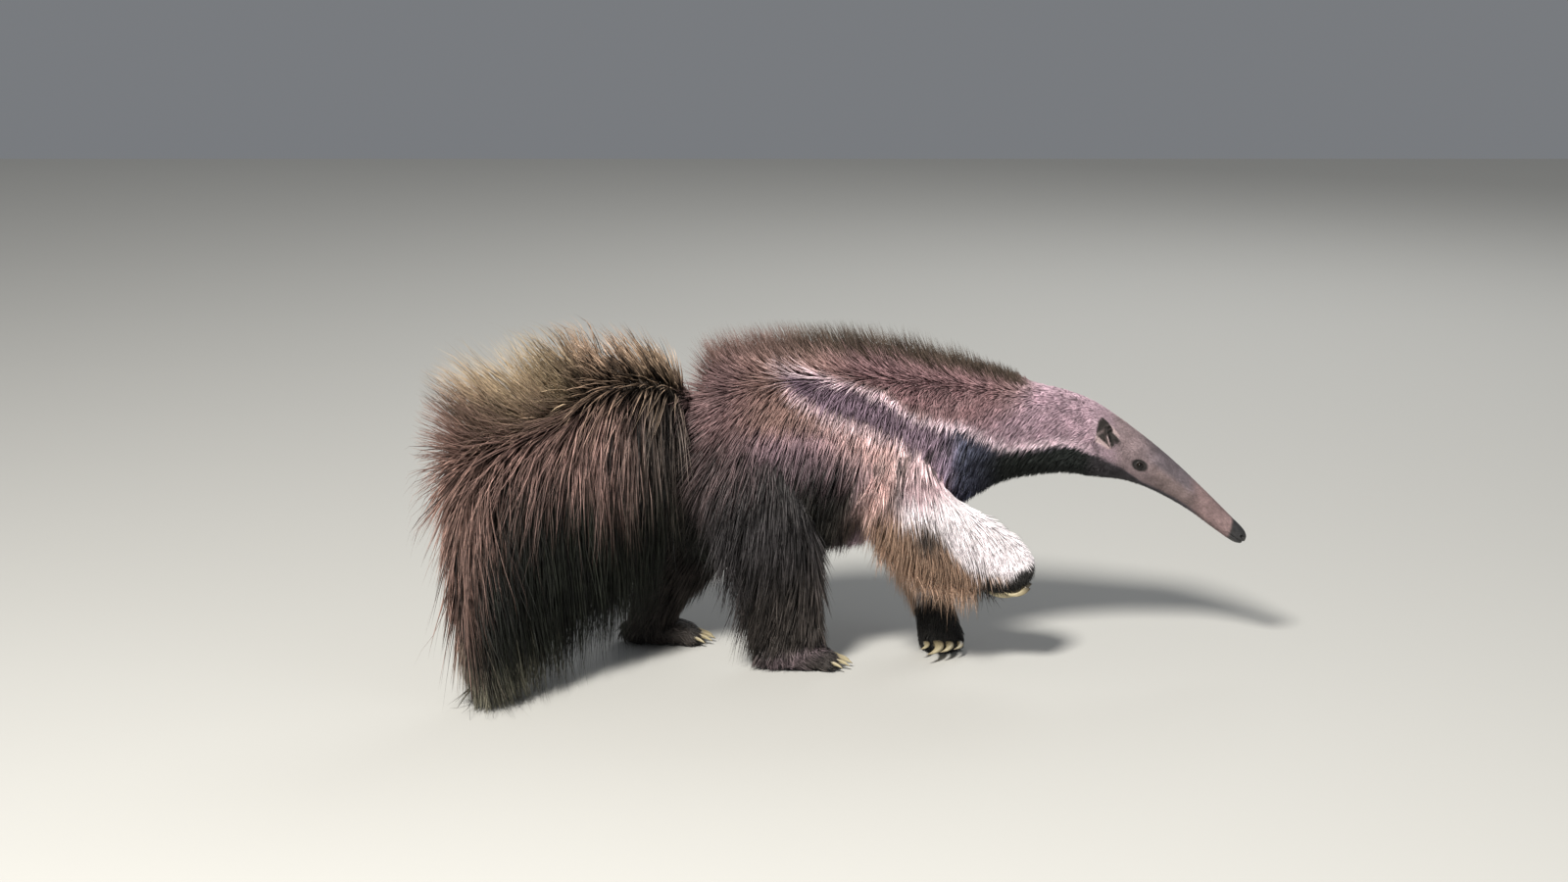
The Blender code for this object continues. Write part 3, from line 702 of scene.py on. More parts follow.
# Colour of the coat at points of the skin
def paint(p, n, found):
    x, z = p[:, 0], p[:, 2]
    spine = found["spine"]
    up = spine["up"]
    c = Layers(np.tile(coatColours["flank"], (len(p), 1)))
    c.add("back", step(0.30, 0.55, up))
    c.add("rump", step(-0.02, -0.12, x))
    # painted shade low at the rear of the trunk, between the tail and the thigh
    c.add("flankLowShade", step(-0.140, -0.185, x) * step(0.52, 0.42, z))
    upper, lower = curve(x, *markings["upperEdge"]), curve(x, *markings["lowerEdge"])
    c.add("shoulder", step(0.00, 0.16, x) * step(-0.13, -0.02, z - lower) * step(0.02, -0.01, z - lower))
    # painted shade on the lower flank towards the belly, below the lit upper flank
    c.add("flankLowShade", step(0.045, -0.050, z - curve(x, *markings["flankShadeEdge"])))
    c.add("neckBrown", step(0.02, 0.16, x) * step(0.47, 0.36, x) * step(0.010, 0.030, z - upper))
    c.add("neck", step(0.34, 0.44, x + 0.8 * (upper + 0.05 - z)))
    c.add("head", step(0.54, 0.60, x))
    c.add("face", step(0.590, 0.625, x))
    c.add("snoutTop", step(0.64, 0.70, x) * step(0.0, 0.5, up))
    c.add("snoutSide", step(0.65, 0.70, x) * step(0.5, 0.0, up))
    c.add("snoutEnd", step(0.745, 0.775, x))
    # painted shade under the jaw
    c.add("jawDarkAndShade", step(0.60, 0.66, x) * step(-0.55, -0.90, up) * step(0.82, 0.72, x))
    start, end = markings["bandStart"], markings["bandEnd"]
    alongBand = step(start - 0.03, start + 0.03, x)
    fading = step(0.62, 0.45, x)
    c.add("edging", 0.95 * alongBand * fading * np.exp(-(((z - upper) - 0.007) / 0.009) ** 2))
    c.add("edging", 0.6 * alongBand * step(0.29, 0.24, x) * np.exp(-(((lower - z) - 0.010) / 0.012) ** 2))
    softer = 0.003 + 0.004 * step(0.54, 0.60, x)
    inBand = step(-0.003, 0.003, z - lower) * np.clip((upper - z) / softer + 0.5, 0, 1)
    inBand = inBand * step(end + 0.03, end - 0.02, x) * (x > start)
    c.add("band", inBand)
    c.add("chest", inBand * step(0.27, 0.33, x))
    # the black band on the throat, deepened as painted shade on the underside
    c.add("throatBlackAndShade", inBand * np.maximum(step(0.33, 0.41, x) * step(0.1, -0.35, up), step(0.43, 0.50, x)))
    # the band's black runs on to the jaw
    c.add("jawDarkAndShade", inBand * step(0.545, 0.580, x))
    # painted shade in a strip tapering along the jaw line
    c.add("jawDarkAndShade", 0.55 * step(0.014, 0.000, z - upper) * step(0.555, 0.575, x) * step(0.640, 0.610, x))
    # painted shade in the fold of the cheek
    sideView = p[:, [0, 2]]
    fold = distanceToLine(sideView, head["fold"])
    c.add("jawDarkAndShade", 0.55 * np.exp(-(fold / 0.0035) ** 2) * step(0.010, 0.030, abs(p[:, 1])))
    onCrest = step(0.60, 0.80, up) * step(0.045, 0.020, abs(p[:, 1])) * step(0.47, 0.42, x)
    c.add("crestRear", onCrest)
    c.add("crest", onCrest * step(-0.06, 0.08, x))

    front = Layers(np.tile(coatColours["fringe"], (len(p), 1)))
    front.add("shoulder", step(0.285, 0.325, z))
    onWhite = step(-0.006, 0.006, z - curve(x, *markings["whiteEdge"])) * step(0.190, 0.225, x)
    front.add("white", onWhite)
    front.add("pinkArm", onWhite * step(0.318, 0.350, z) * step(0.33, 0.29, x))
    middle, size = markings["elbowPatch"]
    front.add("darkPatch", 1.1 * np.exp(-((x - middle[0]) ** 2 + (z - middle[1]) ** 2) / size ** 2))
    front.add("darkPatch", 0.9 * np.exp(-(distanceToLine(sideView, markings["parting"]) / 0.007) ** 2))
    front.add("knuckles", step(0.004, -0.004, z - curve(x, *markings["knuckleEdge"])) * (x > 0.345))
    c.value += (front.value - c.value) * found["foreR"]["weight"][:, None]
    t, fore = found["foreL"]["t"], found["foreL"]["fore"]
    front = Layers(np.tile(coatColours["shoulder"], (len(p), 1)))
    front.add("white", step(2.0, 3.0, t + 0.6 * fore))
    front.add("fringe", step(-0.3, -0.8, fore) * step(1.8, 2.6, t))
    front.add("knuckles", step(4.9, 5.5, t + 0.15 * fore))
    c.value += (front.value - c.value) * found["foreL"]["weight"][:, None]
    for name in ("hindR", "hindL"):
        t = found[name]["t"]
        rear = Layers(np.tile(coatColours["thigh"], (len(p), 1)))
        rear.add("rump", step(1.5, 0.5, t) * 0.42)
        rear.add("hindLow", step(2.4, 4.0, t))
        c.value += (rear.value - c.value) * found[name]["weight"][:, None]
    c.add("hindLow", found["foot"]["weight"])
    rear = Layers(np.tile(coatColours["tailMiddle"], (len(p), 1)))
    rear.add("tailRear", step(-0.44, -0.56, x) * 0.9)
    rear.add("tailFront", step(-0.320, -0.230, x))
    # low on the tail, ahead of its rear edge: dark hair with painted shade under the hair above
    rear.add("tailLowDarkAndShade", step(0.43, 0.35, z) * step(-0.025, 0.015, x - curve(z, *markings["tailEdge"])))
    rear.add("tailCrown", step(0.47, 0.56, z) * 0.8)
    # top of the tail: tan hair, made paler as painted sunlight
    rear.add("tailTop", step(0.48, 0.56, z) * step(-0.35, -0.43, x) * step(-0.63, -0.54, x) * 0.9)
    rear.add("tailTip", step(0.16, 0.06, z))
    c.value += (rear.value - c.value) * found["tail"]["weight"][:, None]

    ear = earPlaces(p)
    facing, hollow = earFacing(ear, n)
    rim = step(0.70, 0.88, ear["edge"]) * step(0.86, 0.72, ear["v"]) * (1 - 0.8 * step(0.0, 0.4, facing))
    c.add("earBack", ear["in"] * step(0.17, 0.26, ear["v"]))
    # the hollow of the ear: darker skin, deepened as painted shade
    c.add("earInside", ear["in"] * hollow * (1 - rim))
    # the pale rim, brightened as painted sunlight on its edge
    c.add("earRimPaleAndLit", ear["in"] * rim)
    # painted shadow in the opening at the foot of the ear
    shadedEarOpening = np.exp(-(np.linalg.norm(ear["root"] - np.array((0.008, 0, 0.004)), axis=1) / 0.009) ** 2)
    c.add("earInside", 1.1 * shadedEarOpening * (1 - rim))
    for sign in (-1, 1):
        share = eyeShare(p, sign)[0]
        # dark lids and a dark patch round the eye, partly painted shade in the socket
        c.add("lids", step(3.0, 2.0, share))
    c.add("nose", noseShare(p))
    return np.clip(c.value, 0.002, 1)


# Direction, length and droop of the hair at points of the skin
def grow(p, n, found):
    x = p[:, 0]
    spine = found["spine"]
    up = spine["up"]
    down = np.array((0.0, 0.0, -1.0))
    slopeBack = unit(np.stack([-np.ones(len(p)), np.zeros(len(p)), -spine["slope"]], axis=1))
    towards, falling = curves(x, growth["flow"])
    falling = falling * step(1.02, 0.70, up) + 0.08
    lie = slopeBack * towards[:, None] + down * falling[:, None]
    length = curve(x, *growth["body"])
    shorter = step(-0.1, 0.55, up) * step(0.50, 0.30, x)
    belly = step(-0.50, -0.85, up) * step(-0.10, 0.00, x)
    length = length * (1 - 0.55 * shorter) * (1 - 0.45 * belly)
    depth = spine["coat"]
    droop = np.outer(0.25 + 0.10 * belly, down)

    values = {"lie": lie, "length": length, "depth": depth, "droop": droop}
    blended = {key: value * (spine["weight"][:, None] if value.ndim > 1 else spine["weight"])
               for key, value in values.items()}

    def blend(weight, lie, length, depth, droop):
        for key, value in {"lie": lie, "length": length, "depth": depth, "droop": droop}.items():
            blended[key] = blended[key] + value * (weight[:, None] if value.ndim > 1 else weight)

    for name in ("foreR", "foreL", "hindR", "hindL"):
        part = found[name]
        t, fore = part["t"], part["fore"]
        coat = np.interp(t, np.arange(len(legs[name])), [row[5] for row in legs[name]])
        isFore = name.startswith("fore")
        length = curve(t, *growth["fore" if isFore else "hind"])
        lie = part["axis"] * 0.8 + np.array((-0.45, 0, -0.55))
        if name == "foreR":
            lie = part["axis"] * 0.55 + np.array((-0.10, 0, -0.75))
            under = step(-0.15, -0.75, fore) * step(1.2, 2.2, t) * step(6.4, 5.2, t)
            lie = lie + under[:, None] * np.array((-0.75, 0, -0.55))
            length = length + (growth["fringe"] - length) * under
        if name == "foreL":
            under = step(-0.2, -0.8, fore) * step(1.5, 2.5, t) * step(5.6, 4.6, t)
            length = length + (growth["fringe"] * 0.8 - length) * under
        if name.startswith("hind"):
            under = step(-0.25, -0.80, fore) * step(1.0, 2.0, t) * step(5.2, 4.2, t)
            lie = lie + under[:, None] * np.array((-0.35, 0, -0.55))
            length = length + (growth["hindFringe"] - length) * under
        blend(part["weight"], lie, length, coat, np.outer(np.full(len(p), 0.22), down))
    blend(found["foot"]["weight"], np.tile((1.0, 0, -0.35), (len(p), 1)), np.full(len(p), growth["foot"]),
          np.full(len(p), 0.003), np.outer(np.full(len(p), 0.1), down))

    high = step(0.24, 0.38, p[:, 2])
    slantHigh, slantLow = curves(x, growth["tailSlant"])
    slant = slantHigh * high + slantLow * (1 - high)
    lie = np.stack([slant, 0 * x, -np.ones(len(p))], axis=1)
    belowTop = curve(x, *growth["tailTop"]) - p[:, 2]
    crown = np.maximum(step(0.15, 0.65, n[:, 2]), step(0.022, 0.004, belowTop))
    rearSide = step(-0.25, -0.75, n[:, 0]) * (1 - crown)
    lie = lie + rearSide[:, None] * (np.array((0.02, 0, -1.0)) - lie)
    crownLength, back, rising, fall = curves(x, growth["tailCrown"])
    length = growth["tailSide"] + (crownLength - growth["tailSide"]) * crown
    length = length + (growth["tailRear"] - length) * rearSide
    low = step(0.25, 0.06, p[:, 2])
    length = length + (growth["tailTip"] - length) * low
    droop = np.outer(0.35 + (fall - 0.35) * crown, down) + np.outer(crown * 0.15, (-1, 0, 0))
    blend(found["tail"]["weight"], lie, length, 0.046 * (1 - 0.4 * low) * (1 - 0.35 * rearSide), droop)

    ear = earPlaces(p)
    for key, value in {"lie": ear["axisUp"] + 0.2 * ear["axisBack"], "length": np.full(len(p), 0.0065),
                       "depth": np.full(len(p), 0.002), "droop": np.zeros((len(p), 3))}.items():
        mask = ear["in"]
        blended[key] = np.where(mask if value.ndim == 1 else mask[:, None], value, blended[key])

    lie = blended["lie"]
    flat = lie - n * (lie * n).sum(1, keepdims=True)
    fallback = slopeBack - n * (slopeBack * n).sum(1, keepdims=True)
    short = np.linalg.norm(flat, axis=1) < 0.15 * np.linalg.norm(lie, axis=1)
    flat = unit(np.where(short[:, None], fallback, flat))
    rise = np.clip(0.80 * blended["depth"] / blended["length"], 0.03, 0.55)
    direction = flat * np.sqrt(1 - rise ** 2)[:, None] + n * rise[:, None]

    # the crest stands up along the middle of the back, and the tail's top hair rises and falls backwards
    fromMiddle = abs(p[:, 1])
    foot, ridge = growth["crestWidths"]
    crest = step(foot, ridge, fromMiddle) * step(0.60, 0.85, up) * spine["weight"]
    crest = crest * step(0.475, 0.43, x) * step(-0.190, -0.150, x)
    rise = curve(x, *growth["crest"]) * (1 - 0.35 * np.clip(fromMiddle / foot, 0, 1))
    crestLength = (np.maximum(spine["top"] - p[:, 2], 0) + rise) / 0.90
    standing = unit(np.array((-0.45, 0.0, 0.88)) + np.stack([0 * x, 2.2 * p[:, 1], 0 * x], axis=1))
    direction = unit(direction + crest[:, None] * (standing - direction))
    crown = crown * found["tail"]["weight"]
    over = unit(np.stack([-back, 0.25 * np.sign(n[:, 1]) * abs(n[:, 1]), rising], axis=1))
    direction = unit(direction + (crown * 0.9)[:, None] * (over - direction))
    length = blended["length"] + (crestLength - blended["length"]) * crest
    droop = blended["droop"] * (1 - crest[:, None])
    return direction, length, droop, crest, crown


def storeAttribute(mesh, name, kind, values):
    attribute = mesh.attributes.new(name, kind, "POINT")
    key = {"FLOAT": "value", "FLOAT_VECTOR": "vector", "FLOAT_COLOR": "color"}[kind]
    if kind == "FLOAT_COLOR":
        values = np.concatenate([values, np.ones((len(values), 1))], axis=1)
    attribute.data.foreach_set(key, np.ascontiguousarray(values, dtype=np.float32).ravel())


def describeSkin(mesh):
    p, n = coordinates(mesh), vertexNormals(mesh)
    found = places(p)
    direction, length, droop, crest, crown = grow(p, n, found)
    x, up = p[:, 0], found["spine"]["up"]
    trunk = found["spine"]["weight"]
    hairTop = paint(p + direction * (0.5 * length)[:, None], n, found)
    tint = paint(p, n, found)
    bare = noseShare(p)
    for sign in (-1, 1):
        bare = np.maximum(bare, step(1.75, 1.55, eyeShare(p, sign)[0]))
    ear = earPlaces(p)
    earInside = ear["in"] * earFacing(ear, n)[1] * (ear["edge"] < 0.85)
    under = step(0.006, 0.002, p[:, 2])
    hairy = (1 - bare) * (1 - 0.7 * earInside) * (1 - under)
    # painted shade: the skin is darkened more the longer the hair over it
    shaded = curve(length, (0.004, 0.97), (0.012, 0.88), (0.030, 0.52), (0.080, 0.22))
    storeAttribute(mesh, "shadedSkinTint", "FLOAT_COLOR", tint * shaded[:, None])
    storeAttribute(mesh, "tint", "FLOAT_COLOR", hairTop)
    storeAttribute(mesh, "bare", "FLOAT", np.maximum(bare, under))
    storeAttribute(mesh, "lie", "FLOAT_VECTOR", direction)
    storeAttribute(mesh, "droop", "FLOAT_VECTOR", droop)
    storeAttribute(mesh, "hairLength", "FLOAT", length)
    storeAttribute(mesh, "fineness", "FLOAT", curve(length, (0.003, 0.55), (0.008, 0.9), (0.014, 1.0)))
    isTail = found["tail"]["weight"]
    isHind = found["hindR"]["weight"] + found["hindL"]["weight"] + found["foot"]["weight"]
    isFore = found["foreR"]["weight"] + found["foreL"]["weight"]
    headSide = step(0.555, 0.585, x)
    neckSide = step(0.330, 0.360, x)
    upperSide = step(0.05, 0.20, up)
    right = step(0.004, -0.004, p[:, 1])
    lengths = [step(a, a - 0.004, x) for a in tail["cuts"]]
    crestPiece = step(0.35, 0.65, crest)
    covers = {
        "head": trunk * headSide, "neck": trunk * neckSide * (1 - headSide) * (1 - crestPiece),
        "back": trunk * (1 - neckSide) * upperSide * (1 - crestPiece), "crest": crestPiece,
        "flankR": trunk * (1 - neckSide) * (1 - upperSide) * right,
        "flankL": trunk * (1 - neckSide) * (1 - upperSide) * (1 - right),
        "forelegs": isFore, "hindlegs": isHind,
        "tailBase": isTail * (1 - lengths[0]), "tailMiddle": isTail * lengths[0] * (1 - lengths[1]),
        "tailEnd": isTail * lengths[1], "wisps": crown * step(-0.585, -0.560, x) * step(-0.31, -0.36, x),
    }
    for name, cover in covers.items():
        storeAttribute(mesh, "cover_" + name, "FLOAT", np.clip(cover * hairy, 0, 1))
    faces = np.empty(len(mesh.polygons) * 3, int)
    mesh.polygons.foreach_get("vertices", faces)
    areas = np.empty(len(mesh.polygons))
    mesh.polygons.foreach_get("area", areas)
    return {name: float((np.clip(cover * hairy, 0, 1)[faces.reshape(-1, 3)].mean(1) * areas).sum())
            for name, cover in covers.items()}


# The unwrap of the skin, which the tufts share
def unwrap(obj):
    bpy.context.view_layer.objects.active = obj
    obj.select_set(True)
    obj.data.uv_layers.new(name="OFBake")
    bpy.ops.object.mode_set(mode="EDIT")
    bpy.ops.mesh.select_all(action="SELECT")
    bpy.ops.uv.smart_project(angle_limit=math.radians(66), island_margin=0.001)
    bpy.ops.object.mode_set(mode="OBJECT")
    obj.select_set(False)


skin = newObject("skin", skinMesh)
unwrap(skin)
print("skin unwrapped")
coverAreas = describeSkin(skinMesh)
print("coat areas:", {name: round(area, 4) for name, area in coverAreas.items()})


# Adds a node and gives its sockets, by name or number, a value or a link
def addNode(tree, kind, sockets=None, **settings):
    node = tree.nodes.new(kind)
    for name, value in settings.items():
        setattr(node, name, value)
    for key, value in (sockets or {}).items():
        if isinstance(value, bpy.types.NodeSocket):
            tree.links.new(value, node.inputs[key])
        else:
            node.inputs[key].default_value = value
    return node


def colourRamp(tree, share, stops):
    ramp = addNode(tree, "ShaderNodeValToRGB", {0: share})
    while len(ramp.color_ramp.elements) < len(stops):
        ramp.color_ramp.elements.new(0.5)
    for element, (place, colour) in zip(ramp.color_ramp.elements, stops):
        element.position = place
        element.color = colour
    return ramp.outputs[0]


# Values in a node tree: one range mapped to another, a product, a vector or colour scaled, a stored value
def mapRange(tree, value, fromLow, fromHigh, toLow, toHigh):
    given = {0: value, 1: fromLow, 2: fromHigh, 3: toLow, 4: toHigh}
    return addNode(tree, "ShaderNodeMapRange", given).outputs[0]


def multiply(tree, a, b):
    return addNode(tree, "ShaderNodeMath", {0: a, 1: b}, operation="MULTIPLY").outputs[0]


def scaledBy(tree, vector, amount):
    return addNode(tree, "ShaderNodeVectorMath", {0: vector, "Scale": amount}, operation="SCALE").outputs[0]


def attribute(tree, name, output):
    return addNode(tree, "ShaderNodeAttribute", attribute_name=name).outputs[output]


def newMaterial(name):
    material = bpy.data.materials.new(name)
    material.use_nodes = True
    shader = material.node_tree.nodes["Principled BSDF"]
    return material, material.node_tree, shader


skinFinish = {
    "roughness": 0.75, "bareRoughness": 0.38,
    "fur": {"scale": 900.0, "stretch": 5.0, "height": 0.0007},    # short hairs lying back along the head
    "mottle": {"scale": 45.0, "amount": 0.35},
    "bareGrain": {"scale": 1400.0, "height": 0.0002},
    "headSlope": 38.0,
}


def makeSkinMaterial():
    material, tree, shader = newMaterial("short_fur_skin")
    bare = attribute(tree, "bare", "Fac")
    place = addNode(tree, "ShaderNodeTexCoord").outputs["Object"]
    fur, mottle, grain = skinFinish["fur"], skinFinish["mottle"], skinFinish["bareGrain"]
    slope = (0, -math.radians(skinFinish["headSlope"]), 0)
    turned = addNode(tree, "ShaderNodeMapping", {"Vector": place, "Rotation": slope}).outputs[0]
    stretch = (1 / fur["stretch"], 1, 1)
    stretched = addNode(tree, "ShaderNodeMapping", {"Vector": turned, "Scale": stretch}).outputs[0]
    fine = {"Vector": stretched, "Scale": fur["scale"], "Detail": 3.0, "Roughness": 0.65}
    hairs = addNode(tree, "ShaderNodeTexNoise", fine).outputs["Fac"]
    spots = addNode(tree, "ShaderNodeTexNoise",
                    {"Vector": place, "Scale": mottle["scale"], "Detail": 4.0}).outputs["Fac"]
    spotted = mapRange(tree, spots, 0.3, 0.7, 1 - mottle["amount"], 1 + mottle["amount"])
    shade = multiply(tree, spotted, mapRange(tree, hairs, 0.35, 0.68, 0.55, 1.35))
    leather = addNode(tree, "ShaderNodeTexVoronoi",
                      {"Vector": place, "Scale": grain["scale"]}, feature="SMOOTH_F1").outputs["Distance"]
    height = addNode(tree, "ShaderNodeMix", {0: bare, 2: multiply(tree, hairs, fur["height"]),
                                             3: multiply(tree, leather, grain["height"])}).outputs[0]
    bump = addNode(tree, "ShaderNodeBump", {"Height": height, "Strength": 0.9, "Distance": 1.0})
    rough = mapRange(tree, bare, 0.0, 1.0, skinFinish["roughness"], skinFinish["bareRoughness"])
    # the skin's colour holds painted shade under long hair
    tree.links.new(scaledBy(tree, attribute(tree, "shadedSkinTint", "Color"), shade), shader.inputs["Base Color"])
    tree.links.new(rough, shader.inputs["Roughness"])
    tree.links.new(bump.outputs[0], shader.inputs["Normal"])
    shader.inputs["Specular IOR Level"].default_value = 0.35
    return material


skinMesh.materials.clear()
skinMesh.materials.append(makeSkinMaterial())


# Dark at the root as painted shade, lighter at the tip as paler hair and painted sunlight, with lighter and
# darker locks and patches
def hairMaterial(name, look):
    material, tree, shader = newMaterial(name)
    place = addNode(tree, "ShaderNodeTexCoord").outputs["Object"]
    patches = addNode(tree, "ShaderNodeTexNoise",
                      {"Vector": place, "Scale": look["patchScale"], "Detail": 3.0}).outputs["Fac"]
    along, own = attribute(tree, "along", "Fac"), attribute(tree, "own", "Fac")
    darkest, lightest = look.get("spread", (0.2, 0.8))
    # painted shade at the root and painted sunlight at the tip
    rootShadeTipLight = mapRange(tree, along, 0.0, 0.8, look["rootShade"], look["tipShade"])
    varied = mapRange(tree, own, darkest, lightest, 1 - look["variety"], 1 + look["variety"])
    patched = mapRange(tree, patches, 0.3, 0.7, 1 - look["patch"], 1 + look["patch"])
    shade = multiply(tree, multiply(tree, rootShadeTipLight, varied), patched)
    tree.links.new(scaledBy(tree, attribute(tree, "tint", "Color"), shade), shader.inputs["Base Color"])
    shader.inputs["Roughness"].default_value = look["roughness"]
    shader.inputs["Specular IOR Level"].default_value = 0.30
    return material


# One tapered hair lock, 1 long, with its share of the length and a map round it
def lockMesh(name, rings):
    points, along, faces = [], [], []
    for i in range(rings):
        share = i / rings
        radius = 0.5 * (0.70 + 0.5 * math.sin(math.pi * min(share * 1.4, 1.0))) * (1 - share ** 2.2)
        for j in range(3):
            angle = 2 * math.pi * j / 3
            points.append((radius * math.cos(angle), radius * math.sin(angle), share))
            along.append(share)
    points.append((0, 0, 1))
    along.append(1.0)
    for i in range(rings - 1):
        for j in range(3):
            k = (j + 1) % 3
            faces.append((i * 3 + j, i * 3 + k, (i + 1) * 3 + k, (i + 1) * 3 + j))
    last = (rings - 1) * 3
    faces.extend((last + j, last + (j + 1) % 3, len(points) - 1) for j in range(3))
    faces.append((2, 1, 0))
    mesh = bpy.data.meshes.new(name)
    mesh.from_pydata(points, [], faces)
    storeAttribute(mesh, "along", "FLOAT", np.array(along))
    layer = mesh.uv_layers.new(name="lockMap")
    for polygon in mesh.polygons:
        for corner, vertex in zip(polygon.loop_indices, polygon.vertices):
            layer.data[corner].uv = ((vertex % 3) / 2, along[vertex])
    bm = bmesh.new()
    bm.from_mesh(mesh)
    bmesh.ops.triangulate(bm, faces=bm.faces)
    bm.to_mesh(mesh)
    bm.free()
    return mesh


# Inputs of the coat's tree by kind; makeCoat gives each its value
coatInputs = {
    "Geometry": ("Skin",), "Object": ("Lock",), "String": ("Cover",), "Int": ("Seed",),
    "Material": ("Finish",),
    "Vector": ("Lowest corner", "Highest corner"),
    "Float": ("Spacing", "Most", "Width", "Scatter", "Sway", "Sway size", "Droop", "Short", "Long",
              "Clump size", "Clump pull", "Strand pull", "Strays", "Wave", "Wave size", "Clearance",
              "Floor", "Squeeze", "Patch"),
}


# Scatters locks over the skin, lays them with the coat and gathers them into pointed clumps
def makeCoatTree():
    tree = bpy.data.node_groups.new("coat_of_locks", "GeometryNodeTree")
    for kind, names in coatInputs.items():
        for name in names:
            tree.interface.new_socket(name=name, in_out="INPUT", socket_type="NodeSocket" + kind)
    tree.interface.new_socket(name="Coat", in_out="OUTPUT", socket_type="NodeSocketGeometry")
    given = addNode(tree, "NodeGroupInput").outputs

    def named(name, kind="FLOAT_VECTOR"):
        node = addNode(tree, "GeometryNodeInputNamedAttribute", {"Name": name}, data_type=kind)
        return node.outputs["Attribute"]

    def maths(operation, *values):
        return addNode(tree, "ShaderNodeMath", dict(enumerate(values)), operation=operation).outputs[0]

    def vectors(operation, *values):
        node = addNode(tree, "ShaderNodeVectorMath", dict(enumerate(values)), operation=operation)
        return node.outputs[0]

    def scaled(vector, amount):
        return scaledBy(tree, vector, amount)

    def combined(x, y, z):
        return addNode(tree, "ShaderNodeCombineXYZ", {0: x, 1: y, 2: z}).outputs[0]

    def dot(a, b):
        return addNode(tree, "ShaderNodeVectorMath", {0: a, 1: b}, operation="DOT_PRODUCT").outputs["Value"]

    # What is left of a vector along the skin
    def flattened(vector, normal):
        return vectors("SUBTRACT", vector, scaled(normal, dot(vector, normal)))

    # Noise of a given size, as a vector around nought
    def noise(place, size, detail):
        values = {"Vector": place, "Scale": maths("DIVIDE", 1.0, size), "Detail": detail}
        colour = addNode(tree, "ShaderNodeTexNoise", values).outputs["Color"]
        return vectors("SUBTRACT", colour, (0.5, 0.5, 0.5))

    def store(geometry, name, kind, domain, value):
        node = addNode(tree, "GeometryNodeStoreNamedAttribute", {"Geometry": geometry, "Name": name},
                       data_type=kind, domain=domain)
        tree.links.new(value, node.inputs["Value"])
        return node.outputs["Geometry"]

    def chance(low, high, seedShift):
        seed = maths("ADD", given["Seed"], float(seedShift))
        node = addNode(tree, "FunctionNodeRandomValue", {"Seed": seed}, data_type="FLOAT")
        for socket, value in ((node.inputs[2], low), (node.inputs[3], high)):
            if isinstance(value, bpy.types.NodeSocket):
                tree.links.new(value, socket)
            else:
                socket.default_value = value
        return node.outputs[1]

    def gathering(count):
        scale = maths("DIVIDE", count, given["Clump size"])
        return addNode(tree, "ShaderNodeTexVoronoi", {"Vector": position, "Scale": scale}).outputs

    cover = named(given["Cover"], "FLOAT")
    spread = addNode(tree, "GeometryNodeDistributePointsOnFaces",
                     {"Mesh": given["Skin"], "Distance Min": given["Spacing"], "Density Max": given["Most"],
                      "Density Factor": cover, "Seed": given["Seed"]}, distribute_method="POISSON")
    position = addNode(tree, "GeometryNodeInputPosition").outputs[0]
    points = store(spread.outputs["Points"], "root", "FLOAT_VECTOR", "POINT", position)
    normal = spread.outputs["Normal"]

    # how each lock is gathered into its clump and its strand; strays stay out of them
    clump, strand = gathering(1.0), gathering(3.3)
    toClump = vectors("SUBTRACT", clump["Position"], position)
    toStrand = vectors("SUBTRACT", strand["Position"], position)
    pull = vectors("ADD", scaled(toClump, given["Clump pull"]), scaled(toStrand, given["Strand pull"]))
    stray = maths("LESS_THAN", chance(0.0, 1.0, 53), given["Strays"])
    pull = scaled(flattened(pull, normal), maths("SUBTRACT", 1.0, maths("MULTIPLY", stray, 0.7)))
    points = store(points, "gather", "FLOAT_VECTOR", "POINT", pull)

    # its shade, partly its own and partly that of its clump and strand
    shade = maths("MULTIPLY", chance(0.0, 1.0, 11), 0.30)
    for shared, amount in ((clump, 0.30), (strand, 0.40)):
        random = addNode(tree, "ShaderNodeSeparateXYZ", {0: shared["Color"]}).outputs[0]
        shade = maths("ADD", shade, maths("MULTIPLY", random, amount))
    points = store(points, "own", "FLOAT", "POINT", shade)

    # its length, direction and width
    share = chance(given["Short"], given["Long"], 23)
    share = maths("MULTIPLY", share, maths("ADD", 1.0, maths("MULTIPLY", stray, 0.15)))
    length = maths("MULTIPLY", named("hairLength", "FLOAT"), share)
    points = store(points, "lockLength", "FLOAT", "POINT", length)
    jitter = combined(*[chance(-1.0, 1.0, 31 + k) for k in range(3)])
    sway = scaled(noise(position, given["Sway size"], 1.0), maths("MULTIPLY", given["Sway"], 3.0))
    direction = vectors("ADD", named("lie"), flattened(sway, normal))
    direction = vectors("ADD", direction, scaled(jitter, given["Scatter"]))
    turn = addNode(tree, "FunctionNodeAxesToRotation", {0: direction, 1: normal},
                   primary_axis="Z", secondary_axis="X").outputs[0]
    wide = maths("MULTIPLY", given["Width"], named("fineness", "FLOAT"))
    wide = maths("MULTIPLY", wide, chance(0.65, 1.35, 47))
    wide = maths("MULTIPLY", wide, maths("SUBTRACT", 1.0, maths("MULTIPLY", stray, 0.45)))
    length = named("lockLength", "FLOAT")
    lock = addNode(tree, "GeometryNodeObjectInfo", {"Object": given["Lock"]}).outputs["Geometry"]
    placed = addNode(tree, "GeometryNodeInstanceOnPoints",
                     {"Points": points, "Instance": lock, "Rotation": turn,
                      "Scale": combined(wide, wide, length)})
    real = addNode(tree, "GeometryNodeRealizeInstances", {0: placed.outputs[0]}).outputs[0]

